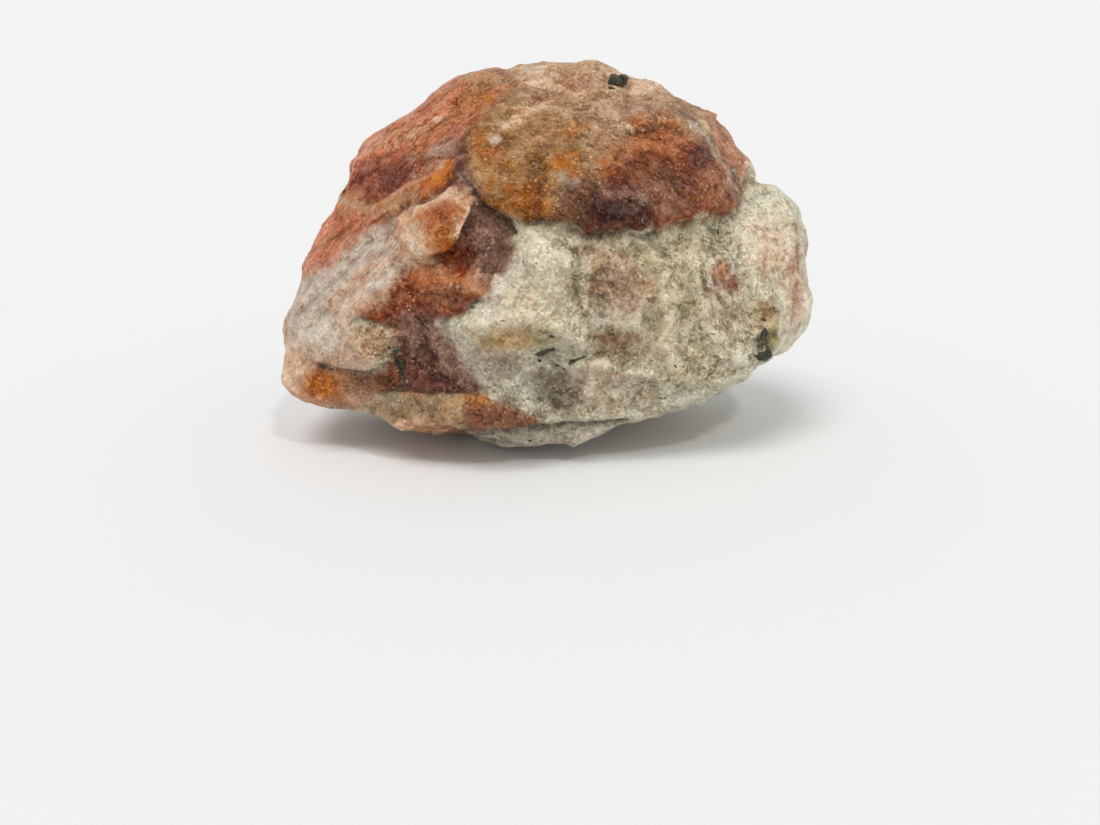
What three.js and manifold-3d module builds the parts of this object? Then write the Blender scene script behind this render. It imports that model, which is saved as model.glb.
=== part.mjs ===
// A rough sunstone: one broken lump of feldspar rock, about 71 mm wide, 45 mm deep and 49 mm tall.
// It is a single piece of stone. It stands on a small flat spot under its belly.
// Millimetres, +Z up, the front faces -Y, and the origin is under the middle of the stone.
//
// The lump is made the way a stone gets its shape. A blank is split out by flat faces, its front
// is fitted to the outline that the stone shows, and plates, nodules and hollows are raised or sunk on it.
import * as THREE from "three";
import { mergeVertices } from "three/addons/utils/BufferGeometryUtils.js";
import Module from "manifold-3d";

const wasm = await Module();
wasm.setup();

// Driving dimensions
const EYE = new THREE.Vector3(0, -136.8, 45.2); // the front relief is laid out as seen from here
const BEHIND = new THREE.Vector3(0, 136.8, 30); // and the back relief from here
const HEART = new THREE.Vector3(-0.5, 1, 22); // a point inside that sees the whole surface
const MIDDLE = new THREE.Vector2(0.32, -0.73); // the middle of the stone's box, which becomes the origin
const MESH_DETAIL = 20; // the icosahedron's edges are split into this many, plus one
const EVENNESS = new THREE.Vector3(1.45, 0.95, 1); // spreads the mesh evenly over the long lump
const FRONT_SHARE = 0.2; // how far the mesh is gathered towards the front
const EDGE_PULL = 2; // how near a form's outline the mesh is drawn to it
const EDGE_GATHER = 1.7; // and how strongly, as a power of the distance
const RIM = [2.5, 6]; // how far inside the stone's outline this begins, and is in full
const EDGE_SHARPNESS = 55; // how crisply neighbouring faces meet
const RELIEF_SHARPNESS = 9; // how abruptly the relief ends where the stone turns away
const OUTLINE_STEPS = 360; // directions in which the outline is fitted
const OUTLINE_REACH = 22; // how far from the outline its small steps are felt, in degrees
const OUTLINE_EASE = 14; // how far round the stone they are evened out elsewhere, in degrees
const CHIP_COUNT = 90; // small splinter faces over the whole stone
const CHIP_LEAN = 0.5; // how far a splinter face leans, as a slope
const CHIP_DEPTH = 1.5; // how deep the deepest splinter face is cut
const CRISP = 1; // a form whose edge is narrower than this is crisp, and the mesh follows it
const ROUGH_SIZE = 5.5; // the size of the largest unevenness of the broken rock
const ROUGH_HEIGHT = 0.75; // and its height
const ROUGH_MEAN = 0.33; // keeps the unevenness from making the whole stone thicker
const TYPICAL_REACH = 20; // from the heart to the surface, to keep high powers in range

// The flat faces of the blank: which way each faces, in degrees round from the front towards
// the right and in degrees above level, and how far it lies from the heart.
const FACES = [
  [8, -10, 21.3], // front, where the pale rock shows
  [-20, -3, 22.8], // front left
  [-65, 0, 33.9], // left end
  [-36, 32, 24.2], // the long red cleavage face
  [-100, 54, 27.1], // its top edge
  [-100, 26, 28.8], // left shoulder
  [180, 84, 26.6], // top
  [0, 55, 24.3], // top of the front
  [5, 25, 22.8], // upper front
  [40, 25, 26.0], // upper right of the front
  [90, 56, 28.4], // right shoulder
  [90, 3, 35.3], // right end
  [50, -5, 32.6], // front right
  [90, -49, 30.2], // under the right end
  [90, -68, 23.6], // belly, right
  [0, -90, 22.7], // belly
  [-90, -72, 24.8], // belly, left
  [0, -55, 24.4], // under the front
  [-50, -30, 33.6], // under the left end
  [175, 8, 21.4], // back
  [190, 45, 23.4], // upper back
  [230, 12, 29.6], // back left
  [131, 4, 31.2], // back right
  [180, -42, 23.2], // under the back
  [140, 40, 26.2], // upper back right
  [215, -35, 26.8], // under the back left
];

// The outline that the stone shows from the eye, clockwise from the left tip,
// as places on the upright plane through the origin.
const OUTLINE = [
  [-38.0, 7.2], [-37.3, 9.2], [-36.7, 12.4], [-37.0, 13.8], [-35.6, 16.6], [-34.1, 20.5],
  [-33.2, 24.0], [-31.1, 27.3], [-28.7, 30.1], [-27.8, 32.4], [-26.6, 34.5], [-26.5, 36.3],
  [-24.6, 39.1], [-21.3, 41.0], [-16.5, 43.9], [-12.3, 47.0], [-9.4, 48.3], [-5.9, 48.0],
  [-5.4, 48.7], [-1.0, 49.0], [5.1, 48.8], [7.6, 47.9], [10.7, 46.5], [12.7, 46.6], [14.8, 45.4],
  [18.4, 44.0], [20.9, 42.2], [24.3, 39.1], [26.8, 35.8], [27.1, 33.6], [29.9, 33.6], [31.6, 32.3],
  [33.6, 29.8], [34.7, 26.6], [34.8, 23.5], [35.7, 18.5], [36.2, 16.6], [35.7, 13.4],
  [33.2, 10.9], [28.9, 7.9], [27.8, 6.4], [24.7, 5.0], [19.7, 2.5], [14.4, 1.2], [10.1, 0.1],
  [7.5, -1.7], [2.4, -3.0], [-5.0, -3.2], [-9.9, -2.5], [-13.4, -0.9], [-16.5, -1.7],
  [-20.8, -1.2], [-23.0, 0.2], [-24.9, 1.8], [-26.4, 1.4], [-30.0, 2.3], [-34.8, 3.2], [-37.2, 4.8],
];

// The relief of the front. Each form has an outline on the same upright plane. It stands a step
// proud at its edge and a dome more in its middle, which it reaches over a run from the edge.
// Negative sizes are hollows. A form with a ramp grows from nothing at one point to full at another.
const FRONT_FORMS = [
  {
    name: "red cleavage face",
    step: -1.6, dome: -0.6, run: 4, edge: 0.3,
    ramp: [[-22, 42], [-17, 33]],
    outline: [
      [-9, 49], [-14, 46.5], [-21, 42.5], [-27, 38], [-29, 31], [-24.4, 31], [-21.5, 32.4],
      [-19.4, 33.8], [-15.6, 35], [-13, 36.7], [-11.4, 38], [-11, 40], [-9, 42], [-8, 44], [-6, 46],
    ],
  },
  {
    name: "orange ridge",
    step: 0.9, dome: 0.5, run: 1.5, edge: 0.3,
    outline: [
      [-24.4, 31], [-21.5, 32.4], [-19.4, 33.8], [-15.6, 35], [-14, 36.3], [-12.6, 36.6],
      [-13.4, 34.8], [-14.5, 32.9], [-18.3, 31.4], [-21, 30.2], [-24.5, 28.5],
    ],
  },
  {
    name: "orange nodule",
    step: 1.3, dome: 1.3, run: 2.5, edge: 0.3,
    outline: [
      [-20.8, 28.3], [-19.5, 29.8], [-17.7, 31.1], [-15.6, 32.2], [-13.4, 32.5], [-11.5, 32.3],
      [-10.2, 31.4], [-10.3, 29.5], [-12, 26], [-13.4, 24.7], [-16.7, 23.6], [-18.3, 23.2],
      [-19.8, 24.8], [-20.6, 26.6],
    ],
  },
  {
    name: "honey lump",
    step: 2.2, dome: 1.8, run: 5, edge: 0.3,
    outline: [
      [-10, 41.4], [-11.3, 38.5], [-11.5, 36.6], [-10.9, 34.8], [-9.8, 31.9], [-7.3, 30.1],
      [-4.6, 28.6], [-3, 28.6], [-1.7, 29.3], [1.2, 29.2], [4, 33], [6, 38], [3, 43], [0, 44.3],
      [-4, 43.6], [-8.2, 42.6],
    ],
  },
  {
    name: "red-brown plate",
    step: 2.4, dome: 1.1, run: 5, edge: 0.3,
    ramp: [[14, 43], [12, 33]],
    outline: [
      [-1.7, 29.3], [1.2, 29], [3.4, 27.7], [5.1, 27.1], [9.9, 27.4], [12.6, 26.9], [14.7, 27.8],
      [19.7, 28.8], [21.8, 30], [25, 30.2], [25, 31.6], [24.1, 33.7], [22.7, 36.1], [20.5, 38.1],
      [16.9, 40.1], [14.5, 40.6], [12.1, 40.2], [9.8, 39.1], [4, 42], [0, 36],
    ],
  },
  {
    name: "hollow under the nodule",
    step: -0.9, dome: -1.2, run: 3, edge: 2,
    outline: [
      [-10, 30.5], [-7.3, 30.1], [-4.6, 28.4], [-4.2, 25.4], [-6.9, 20.4], [-11, 22.5],
      [-14.5, 23.2], [-12, 26],
    ],
  },
  {
    name: "brown bulge",
    step: 0.4, dome: 1.6, run: 4, edge: 3,
    outline: [
      [-20, 20], [-18.5, 22.4], [-15, 22.9], [-11, 21.5], [-8, 19.4], [-9.4, 17.3], [-13.5, 15.7],
      [-18, 14.5], [-22, 16],
    ],
  },
  {
    name: "dark hollow",
    step: -0.5, dome: -1.4, run: 4, edge: 3,
    outline: [
      [-22, 14], [-18, 14.5], [-14.8, 14], [-14.6, 12], [-12.3, 8.1], [-9.5, 5.4], [-16, 5],
      [-22, 5.6], [-24, 9],
    ],
  },
  {
    name: "pale lens",
    step: 1.2, dome: 1.3, run: 4, edge: 0.6,
    outline: [
      [-34, 13.5], [-30, 16.8], [-25.5, 20.8], [-21.5, 23.2], [-20.5, 19], [-23, 14],
      [-22, 9.5], [-24.1, 8.5], [-25.8, 7.8], [-29.5, 7.9], [-33, 10],
    ],
  },
  {
    name: "shoulder of pale rock",
    step: 0.9, dome: 1.5, run: 4, edge: 3,
    outline: [
      [-4.1, 26.2], [-6.1, 21.9], [-8.8, 17.7], [-13.5, 15.7], [-14.6, 13.5], [-12, 10], [-6, 9],
      [2, 12], [4.5, 18], [3.5, 24], [0, 27.5],
    ],
  },
  {
    name: "groove in the pale rock",
    step: -0.5, dome: -0.5, run: 1, edge: 1.6,
    outline: [[3, 24.5], [4.6, 25], [5.4, 20], [5.2, 14], [4, 12.5], [3.6, 15], [4, 20]],
  },
  {
    name: "swelling of the pale rock",
    step: 0.3, dome: 0.9, run: 4, edge: 3,
    outline: [[8, 9], [17, 8], [24, 12], [25, 20], [23, 26], [17, 25], [12, 19], [7, 14]],
  },
  {
    name: "grain pocket",
    step: -0.6, dome: -0.5, run: 1, edge: 1.6,
    outline: [[-22.6, 6.6], [-19.6, 6.2], [-18.8, 8.5], [-20, 10.8], [-22.6, 10.4]],
  },
  {
    name: "layer edge on the right shoulder",
    step: -0.7, dome: -0.3, run: 2, edge: 0.4,
    outline: [
      [19.6, 41], [23.3, 37], [25.2, 33.4], [25.6, 31.4], [28.5, 33.6], [30, 38], [24, 46], [18, 46],
      [17.4, 43.4],
    ],
  },
  {
    name: "right end plate",
    step: 0.9, dome: 0.7, run: 3, edge: 0.4,
    outline: [
      [26, 33.5], [26.2, 30.6], [25.2, 25], [27, 19], [30, 13], [34, 10], [38, 14], [37, 28],
      [33, 35], [29, 36],
    ],
  },
  {
    name: "bottom shelf",
    step: 1.4, dome: 0.5, run: 2, edge: 0.6,
    outline: [
      [-24.5, 3], [-23.2, 4], [-22.1, 5.1], [-20.4, 5.3], [-16.5, 4.4], [-13.7, 4.6], [-10.9, 5.1],
      [-9.2, 4.8], [-6.6, 3.3], [-2.5, 0.7], [0, -0.3], [-5, -1.1], [-11.9, -1.1], [-14, -4],
      [-22, -3], [-25, 0.8],
    ],
  },
  {
    name: "belly under the shelf",
    step: -1.3, dome: 0, run: 2, edge: 1.2,
    outline: [
      [-13, -0.9], [-7.9, -1.3], [-2.2, -0.7], [2.4, -0.1], [7.8, -0.1], [11, 0.3], [8, -5],
      [-12, -5],
    ],
  },
];

// The relief of the back, laid out in the same way as seen from behind.
const BACK_FORMS = [
  {
    name: "back cleavage face",
    step: 2.2, dome: 0.8, run: 4, edge: 0.3,
    ramp: [[-4, 46], [-2, 32]],
    outline: [
      [-23, 38], [-12, 44], [2, 45], [13, 41], [17, 34], [11, 30.5], [4, 27.5], [-5, 28.5], [-13, 25],
      [-20, 29],
    ],
  },
  {
    name: "back rib",
    step: 1.4, dome: 0.9, run: 3, edge: 0.3,
    outline: [[10, 29], [18, 32.5], [27, 27], [31, 19], [26, 13], [20, 15], [15, 21]],
  },
  {
    name: "back bulge",
    step: 1.2, dome: 1.6, run: 5, edge: 0.4,
    outline: [[-12, 21], [-3, 25], [6, 23], [12, 17], [12, 11], [3, 8], [-8, 9], [-15, 13]],
  },
  {
    name: "back hollow",
    step: -1, dome: -1.4, run: 4, edge: 2.5,
    outline: [[-31, 14], [-24, 19], [-16, 14], [-14, 7], [-21, 4.5], [-29, 7]],
  },
  {
    name: "back left splinter",
    step: 1.1, dome: 0.8, run: 3, edge: 0.3,
    outline: [[-29, 30], [-23, 31], [-17, 24], [-21, 20], [-28, 21], [-32, 24]],
  },
];
const VIEWS = [
  { eye: EYE, forms: FRONT_FORMS },
  { eye: BEHIND, forms: BACK_FORMS },
];

// Dark grains grown into the rock: where each shows on the same plane, its width, height and
// depth, and how far it is turned.
const GRAINS = [
  { name: "top grain", at: [8.6, 46.5], size: [2.4, 2.3, 2.2], turn: 20 },
  { name: "right grain", at: [29.8, 10.6], size: [2.3, 1.9, 2], turn: -10 },
  { name: "upper right grain", at: [29.5, 13.1], size: [1.4, 1.4, 1.4], turn: 35 },
  { name: "left grain", at: [-21.1, 10], size: [1.6, 2.2, 1.4], turn: 15 },
  { name: "seam grain", at: [-9.8, 17.5], size: [1.8, 1, 1.2], turn: 30 },
];

const turned = (degrees) => THREE.MathUtils.degToRad(degrees);
const smooth = (value, low, high) => THREE.MathUtils.smoothstep(value, low, high);

// The unit vector that faces a way round from the front and a way above level.
function facing(round, above) {
  const level = Math.cos(turned(above));
  return new THREE.Vector3(
    Math.sin(turned(round)) * level,
    -Math.cos(turned(round)) * level,
    Math.sin(turned(above)),
  );
}

// A repeatable scatter between 0 and 1.
function scatter(seed) {
  const wave = Math.sin(seed * 12.9898) * 43758.5453;
  return wave - Math.floor(wave);
}

const faces = FACES.map(([round, above, distance]) => ({ normal: facing(round, above), distance }));

// How far the blank reaches from the heart in a direction, and which way it faces there.
function blankReach(direction, blank) {
  let sum = 0;
  for (const { normal, distance } of blank) {
    const share = normal.dot(direction) / distance;
    if (share > 0) sum += share ** EDGE_SHARPNESS;
  }
  return sum ** (-1 / EDGE_SHARPNESS);
}
function blankNormal(direction, sharpness) {
  const normal = new THREE.Vector3();
  for (const face of faces) {
    const share = (TYPICAL_REACH * face.normal.dot(direction)) / face.distance;
    if (share > 0) normal.addScaledVector(face.normal, share ** (sharpness - 1) / face.distance);
  }
  return normal.normalize();
}

// The line of sight: towards the eye, across it and up it.
const sight = EYE.clone().sub(HEART);
const sightLength = sight.length();
const towardsEye = sight.clone().normalize();
const across = new THREE.Vector3(0, 0, 1).cross(towardsEye).normalize();
const upward = towardsEye.clone().cross(across);

// An outline point as a slope away from the line of sight.
function slopeOf([x, z]) {
  const ray = new THREE.Vector3(x, 0, z).sub(EYE);
  const along = -ray.dot(towardsEye);
  return new THREE.Vector2(ray.dot(across) / along, ray.dot(upward) / along);
}

// How far the outline reaches at an angle round the line of sight, as a slope.
const outlineSlopes = OUTLINE.map(slopeOf);
function outlineReach(angle) {
  const ray = new THREE.Vector2(Math.cos(angle), Math.sin(angle));
  for (let i = 0; i < outlineSlopes.length; i++) {
    const start = outlineSlopes[i];
    const side = outlineSlopes[(i + 1) % outlineSlopes.length].clone().sub(start);
    const crossing = ray.cross(side);
    const share = start.cross(ray) / crossing;
    const reach = start.cross(side) / crossing;
    if (reach > 0 && share >= 0 && share <= 1) return reach;
  }
  throw new Error("the outline is open");
}

// The direction at an angle round the line of sight and an angle away from it.
function directionAt(angle, away) {
  return towardsEye.clone().multiplyScalar(Math.cos(away))
    .addScaledVector(across, Math.cos(angle) * Math.sin(away))
    .addScaledVector(upward, Math.sin(angle) * Math.sin(away));
}

// The splinter faces, cut a little way into the blank all round except on the front.
const splinters = Array.from({ length: CHIP_COUNT }, (_, i) => {
  const above = Math.asin(2 * ((i + 0.5) / CHIP_COUNT) - 1);
  const direction = facing(137.508 * i, THREE.MathUtils.radToDeg(above));
  const lean = new THREE.Vector3(scatter(i + 0.1) - 0.5, scatter(i + 0.2) - 0.5, scatter(i + 0.3) - 0.5);
  const normal = blankNormal(direction, EDGE_SHARPNESS).addScaledVector(lean, CHIP_LEAN).normalize();
  const reach = blankReach(direction, faces) - CHIP_DEPTH * scatter(i + 0.4);
  return { normal, distance: normal.dot(direction) * reach, front: direction.dot(towardsEye) };
}).filter(({ front }) => front < 0.45);
const splintered = [...faces, ...splinters];

// Even scatter over space, blended smoothly between the corners of a grid of unit cubes.
function unevenness(x, y, z) {
  const [cx, cy, cz] = [Math.floor(x), Math.floor(y), Math.floor(z)];
  const [fx, fy, fz] = [smooth(x - cx, 0, 1), smooth(y - cy, 0, 1), smooth(z - cz, 0, 1)];
  let sum = 0;
  for (let corner = 0; corner < 8; corner++) {
    const [dx, dy, dz] = [corner & 1, (corner >> 1) & 1, corner >> 2];
    const weight = (dx ? fx : 1 - fx) * (dy ? fy : 1 - fy) * (dz ? fz : 1 - fz);
    sum += weight * scatter(cx + dx + 57.31 * (cy + dy) + 113.17 * (cz + dz));
  }
  return sum;
}

// How far the rock's rough surface stands out or in at a point: three sizes of sharp-crested waves.
function roughness({ x, y, z }) {
  let sum = 0;
  for (const [size, height] of [[1, 1], [0.52, 0.55], [0.31, 0.3]]) {
    const scale = 1 / (ROUGH_SIZE * size);
    sum += height * (ROUGH_MEAN - Math.abs(2 * unevenness(x * scale + 9, y * scale, z * scale) - 1));
  }
  return ROUGH_HEIGHT * sum;
}

// How far the rough, splintered blank reaches from the heart in a direction.
function roughReach(direction) {
  const reach = blankReach(direction, splintered);
  const sideways = 1 - Math.abs(direction.dot(towardsEye));
  return reach + roughness(direction.clone().multiplyScalar(reach)) * (0.5 + 0.5 * sideways);
}

// How much wider the blank has to be at each angle for its silhouette to meet the outline, and how
// far away from the line of sight its silhouette lies there.
const fit = Array.from({ length: OUTLINE_STEPS }, (_, step) => {
  const angle = (step / OUTLINE_STEPS) * 2 * Math.PI;
  let widest = 0;
  let widestAway = 0;
  for (let away = 2; away < 180; away += 2) {
    const reach = roughReach(directionAt(angle, turned(away)));
    const sideways = reach * Math.sin(turned(away));
    const slope = sideways / (sightLength - reach * Math.cos(turned(away)));
    if (slope > widest) [widest, widestAway] = [slope, turned(away)];
  }
  return { exact: outlineReach(angle) / widest, away: widestAway };
});
fit.forEach((at, step) => {
  const spread = Math.round((OUTLINE_EASE / 360) * OUTLINE_STEPS);
  let sum = 0;
  for (let i = -spread; i <= spread; i++) sum += fit[(step + i + OUTLINE_STEPS) % OUTLINE_STEPS].exact;
  at.even = sum / (2 * spread + 1);
});
function wideningAt(angle, away) {
  const step = (((angle / (2 * Math.PI)) * OUTLINE_STEPS) + OUTLINE_STEPS) % OUTLINE_STEPS;
  const low = fit[Math.floor(step) % OUTLINE_STEPS];
  const high = fit[(Math.floor(step) + 1) % OUTLINE_STEPS];
  const share = step - Math.floor(step);
  const mix = (key) => THREE.MathUtils.lerp(low[key], high[key], share);
  const near = Math.exp(-(((away - mix("away")) / turned(OUTLINE_REACH)) ** 2));
  return THREE.MathUtils.lerp(mix("even"), mix("exact"), near);
}

// Where a point of the stone shows on the upright plane through the origin.
function seenAt(point, eye) {
  const share = -eye.y / (point.y - eye.y);
  return new THREE.Vector2(eye.x + (point.x - eye.x) * share, eye.z + (point.z - eye.z) * share);
}

// The nearest place on an outline, how far it is, and whether the outline holds the place asked for.
function edgeNear(outline, x, z) {
  const place = new THREE.Vector2(x, z);
  const nearest = { distance: Infinity, place: null, inside: false };
  for (let i = 0, j = outline.length - 1; i < outline.length; j = i++) {
    const [ax, az] = outline[i];
    const [bx, bz] = outline[j];
    const [sx, sz] = [bx - ax, bz - az];
    const share = THREE.MathUtils.clamp(((x - ax) * sx + (z - az) * sz) / (sx * sx + sz * sz), 0, 1);
    const edge = new THREE.Vector2(ax + sx * share, az + sz * share);
    const distance = edge.distanceTo(place);
    if (distance < nearest.distance) Object.assign(nearest, { distance, place: edge });
    if (az > z !== bz > z && x < ((bx - ax) * (z - az)) / (bz - az) + ax) nearest.inside = !nearest.inside;
  }
  return nearest;
}

// How far the relief stands towards the eye at a place on the upright plane.
function reliefAt(forms, x, z) {
  let raised = 0;
  let sunk = 0;
  for (const { step, dome, run, edge, ramp, outline } of forms) {
    const { distance, inside } = edgeNear(outline, x, z);
    const depth = inside ? distance : -distance;
    if (depth < -edge) continue;
    let height = step * smooth(depth, -edge / 2, edge / 2);
    height += dome * (1 - Math.exp(-Math.max(depth, 0) / run));
    if (ramp) {
      const [[fromX, fromZ], [toX, toZ]] = ramp;
      const [rx, rz] = [toX - fromX, toZ - fromZ];
      const share = ((x - fromX) * rx + (z - fromZ) * rz) / (rx * rx + rz * rz);
      height *= THREE.MathUtils.clamp(share, 0, 1);
    }
    raised = Math.max(raised, height);
    sunk = Math.min(sunk, height);
  }
  return raised + sunk;
}

// The surface of the stone in a direction from the heart, before the relief.
function plainSurfaceAt(direction) {
  const reach = roughReach(direction);
  const right = direction.dot(across);
  const up = direction.dot(upward);
  const ahead = THREE.MathUtils.clamp(direction.dot(towardsEye), -1, 1);
  const wide = wideningAt(Math.atan2(up, right), Math.acos(ahead));
  return HEART.clone()
    .addScaledVector(towardsEye, reach * ahead)
    .addScaledVector(across, reach * right * wide)
    .addScaledVector(upward, reach * up * wide);
}

// The surface of the stone in a direction from the heart.
function surfaceAt(direction) {
  const point = plainSurfaceAt(direction);
  for (const view of VIEWS) {
    const towards = view.eye.clone().sub(HEART).normalize();
    const front = smooth(blankNormal(direction, RELIEF_SHARPNESS).dot(towards), 0.1, 0.5);
    if (front === 0) continue;
    const seen = seenAt(point, view.eye);
    const lift = reliefAt(view.forms, seen.x, seen.y) * front;
    point.addScaledVector(view.eye.clone().sub(point).normalize(), lift);
  }
  point.z = Math.max(point.z, 0);
  return point;
}

// The direction in which a place on the upright plane is seen, starting from one near it.
function directionSeenAt(place, eye, near, rounds = 8) {
  let direction = near;
  for (let i = 0; i < rounds; i++) {
    const point = plainSurfaceAt(direction);
    const seen = seenAt(point, eye);
    direction = direction.clone().multiplyScalar(point.distanceTo(HEART));
    direction.x += place.x - seen.x;
    direction.z += place.y - seen.y;
    direction.normalize();
  }
  return direction;
}

// A direction drawn nearer to the closest outline of a form, so that the form's edge is crisp.
function drawnToEdge(direction) {
  for (const { eye, forms } of VIEWS) {
    if (direction.dot(eye.clone().sub(HEART)) < 0) continue;
    const seen = seenAt(plainSurfaceAt(direction), eye);
    const rim = edgeNear(OUTLINE, seen.x, seen.y);
    const pull = rim.inside ? smooth(rim.distance, ...RIM) : 0;
    let nearest = { distance: Infinity };
    for (const { outline } of forms.filter(({ edge }) => edge < CRISP)) {
      const found = edgeNear(outline, seen.x, seen.y);
      if (found.distance < nearest.distance) nearest = found;
    }
    if (nearest.distance > EDGE_PULL) continue;
    const kept = 1 - pull * (1 - (nearest.distance / EDGE_PULL) ** EDGE_GATHER);
    const place = nearest.place.lerp(seen, kept);
    return directionSeenAt(place, eye, direction);
  }
  return direction;
}

// A geometry as a solid, and a solid as a geometry.
function solidOf(geometry) {
  const bare = new THREE.BufferGeometry().setAttribute("position", geometry.getAttribute("position"));
  bare.setIndex(geometry.getIndex());
  const merged = mergeVertices(bare, 1e-4);
  return new wasm.Manifold(new wasm.Mesh({
    numProp: 3,
    vertProperties: new Float32Array(merged.getAttribute("position").array),
    triVerts: new Uint32Array(merged.getIndex().array),
  }));
}
function geometryOf(solid) {
  const { vertProperties, triVerts } = solid.getMesh();
  const geometry = new THREE.BufferGeometry();
  geometry.setAttribute("position", new THREE.BufferAttribute(vertProperties, 3));
  geometry.setIndex(new THREE.BufferAttribute(triVerts, 1));
  geometry.computeVertexNormals();
  return geometry;
}

// The lump itself, a ball of triangles with every corner moved to the surface.
function makeLump() {
  const ball = new THREE.IcosahedronGeometry(1, MESH_DETAIL);
  ball.deleteAttribute("normal");
  ball.deleteAttribute("uv");
  const lump = mergeVertices(ball, 1e-5);
  const places = lump.getAttribute("position");
  const direction = new THREE.Vector3();
  for (let i = 0; i < places.count; i++) {
    direction.fromBufferAttribute(places, i).addScaledVector(towardsEye, FRONT_SHARE);
    direction.multiply(EVENNESS).normalize();
    const point = surfaceAt(drawnToEdge(direction));
    places.setXYZ(i, point.x, point.y, point.z);
  }
  return solidOf(lump);
}

// A dark grain, a blunt crystal sunk halfway into the surface.
function makeGrain({ at, size: [width, height, depth], turn }) {
  const crystal = new THREE.DodecahedronGeometry(0.5);
  crystal.scale(width, depth, height);
  crystal.rotateY(turned(turn));
  const near = new THREE.Vector3(at[0], -20, at[1]).sub(HEART).normalize();
  const place = surfaceAt(directionSeenAt(new THREE.Vector2(...at), EYE, near, 60));
  crystal.translate(place.x, place.y, place.z);
  return solidOf(crystal);
}

const lump = GRAINS.reduce((stone, grain) => stone.add(makeGrain(grain)), makeLump());
const geometry = geometryOf(lump);
geometry.translate(-MIDDLE.x, -MIDDLE.y, 0);

const rock = new THREE.MeshStandardMaterial({ color: 0xb08468, roughness: 0.55, metalness: 0 });
const stone = new THREE.Mesh(geometry, rock);
stone.name = "sunstone";

const part = new THREE.Group();
part.add(stone);
export default part;
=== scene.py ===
# %% [markdown]
# A rough sunstone is a broken lump of feldspar. Nothing on it was made by hand: the colours are
# layers that grew one on another, and the shape is where the lump split. The frame below is the
# solid of the stone in metres. Everything here is built on that solid, so it is loaded first.

# %% Load the frame
import math

import bmesh
import bpy
import numpy as np
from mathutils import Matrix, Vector, noise


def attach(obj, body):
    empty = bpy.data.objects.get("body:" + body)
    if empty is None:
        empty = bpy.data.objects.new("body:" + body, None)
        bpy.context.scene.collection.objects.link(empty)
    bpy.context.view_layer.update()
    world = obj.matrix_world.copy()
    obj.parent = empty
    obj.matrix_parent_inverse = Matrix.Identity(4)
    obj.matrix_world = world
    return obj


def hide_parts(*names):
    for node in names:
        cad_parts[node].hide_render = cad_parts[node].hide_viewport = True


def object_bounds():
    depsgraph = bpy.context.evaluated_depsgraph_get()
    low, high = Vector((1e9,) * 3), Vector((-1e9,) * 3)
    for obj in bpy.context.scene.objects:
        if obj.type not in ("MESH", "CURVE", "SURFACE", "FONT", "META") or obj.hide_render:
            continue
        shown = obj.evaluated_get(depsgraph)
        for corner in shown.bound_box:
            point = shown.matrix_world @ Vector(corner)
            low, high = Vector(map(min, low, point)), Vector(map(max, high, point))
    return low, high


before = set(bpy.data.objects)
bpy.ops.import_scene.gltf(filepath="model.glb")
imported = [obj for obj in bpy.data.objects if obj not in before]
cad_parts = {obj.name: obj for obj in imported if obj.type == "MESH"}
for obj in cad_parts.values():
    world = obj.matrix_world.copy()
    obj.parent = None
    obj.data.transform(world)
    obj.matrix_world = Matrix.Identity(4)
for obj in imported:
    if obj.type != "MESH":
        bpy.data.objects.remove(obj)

MM = 0.001
cad_box = [list(corner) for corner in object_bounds()]
print("solid box in mm:", np.round(np.array(cad_box) / MM, 2).tolist())

# %% [markdown]
# The camera stands at the photograph's own place: a little above the stone, close, looking down
# by 17.6 degrees. A point on the stone is named here by where it is seen from that place, on an
# upright plane through the middle of the stone, in millimetres. So an edge that was measured in
# the photograph can be drawn on the stone with the same numbers. The back has a place of its own.

# %% Camera
EYE = np.array([-0.32, -136.07, 45.2])
BEHIND = np.array([-0.32, 137.53, 30.0])
PLANE_AWAY = 136.8
LOOK_DOWN = 17.6
LENS = 33.02
SENSOR = 36.0

camera_data = bpy.data.cameras.new("camera")
camera_data.lens = LENS
camera_data.sensor_width = SENSOR
camera_data.clip_start = 0.01
camera_data.clip_end = 20
camera = bpy.data.objects.new("camera", camera_data)
camera.location = Vector(EYE * MM)
camera.rotation_euler = (math.radians(90 - LOOK_DOWN), 0, 0)
bpy.context.scene.collection.objects.link(camera)
bpy.context.scene.camera = camera
print("camera at", [round(c, 4) for c in camera.location])


# %% Where a point is seen
def seen_from(eye, points):
    """Where each point is seen on the upright plane through the stone, in millimetres."""
    away = np.abs(points[:, 1] - eye[1])
    share = PLANE_AWAY / away
    across = (points[:, 0] - eye[0]) * share
    up = eye[2] + (points[:, 2] - eye[2]) * share
    return np.stack([across, up], axis=1)


def smooth(value, low, high):
    """Nothing below low, one above high, and a soft climb between them."""
    share = np.clip((value - low) / (high - low), 0, 1)
    return share * share * (3 - 2 * share)


# %% [markdown]
# The solid has about nine thousand faces, each about 1.5 mm wide. Broken feldspar shows grain
# down to a third of a millimetre, so the skin needs finer faces. A copy of the solid is welded,
# every triangle is cut into sixteen, and a few rounds of smoothing take away the old facets.
# The smoothing moves each point in and then out again, so the stone doesn't shrink.

# %% Copy, weld and cut the skin finer
CUTS = 3
WELD = 0.00001


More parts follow.
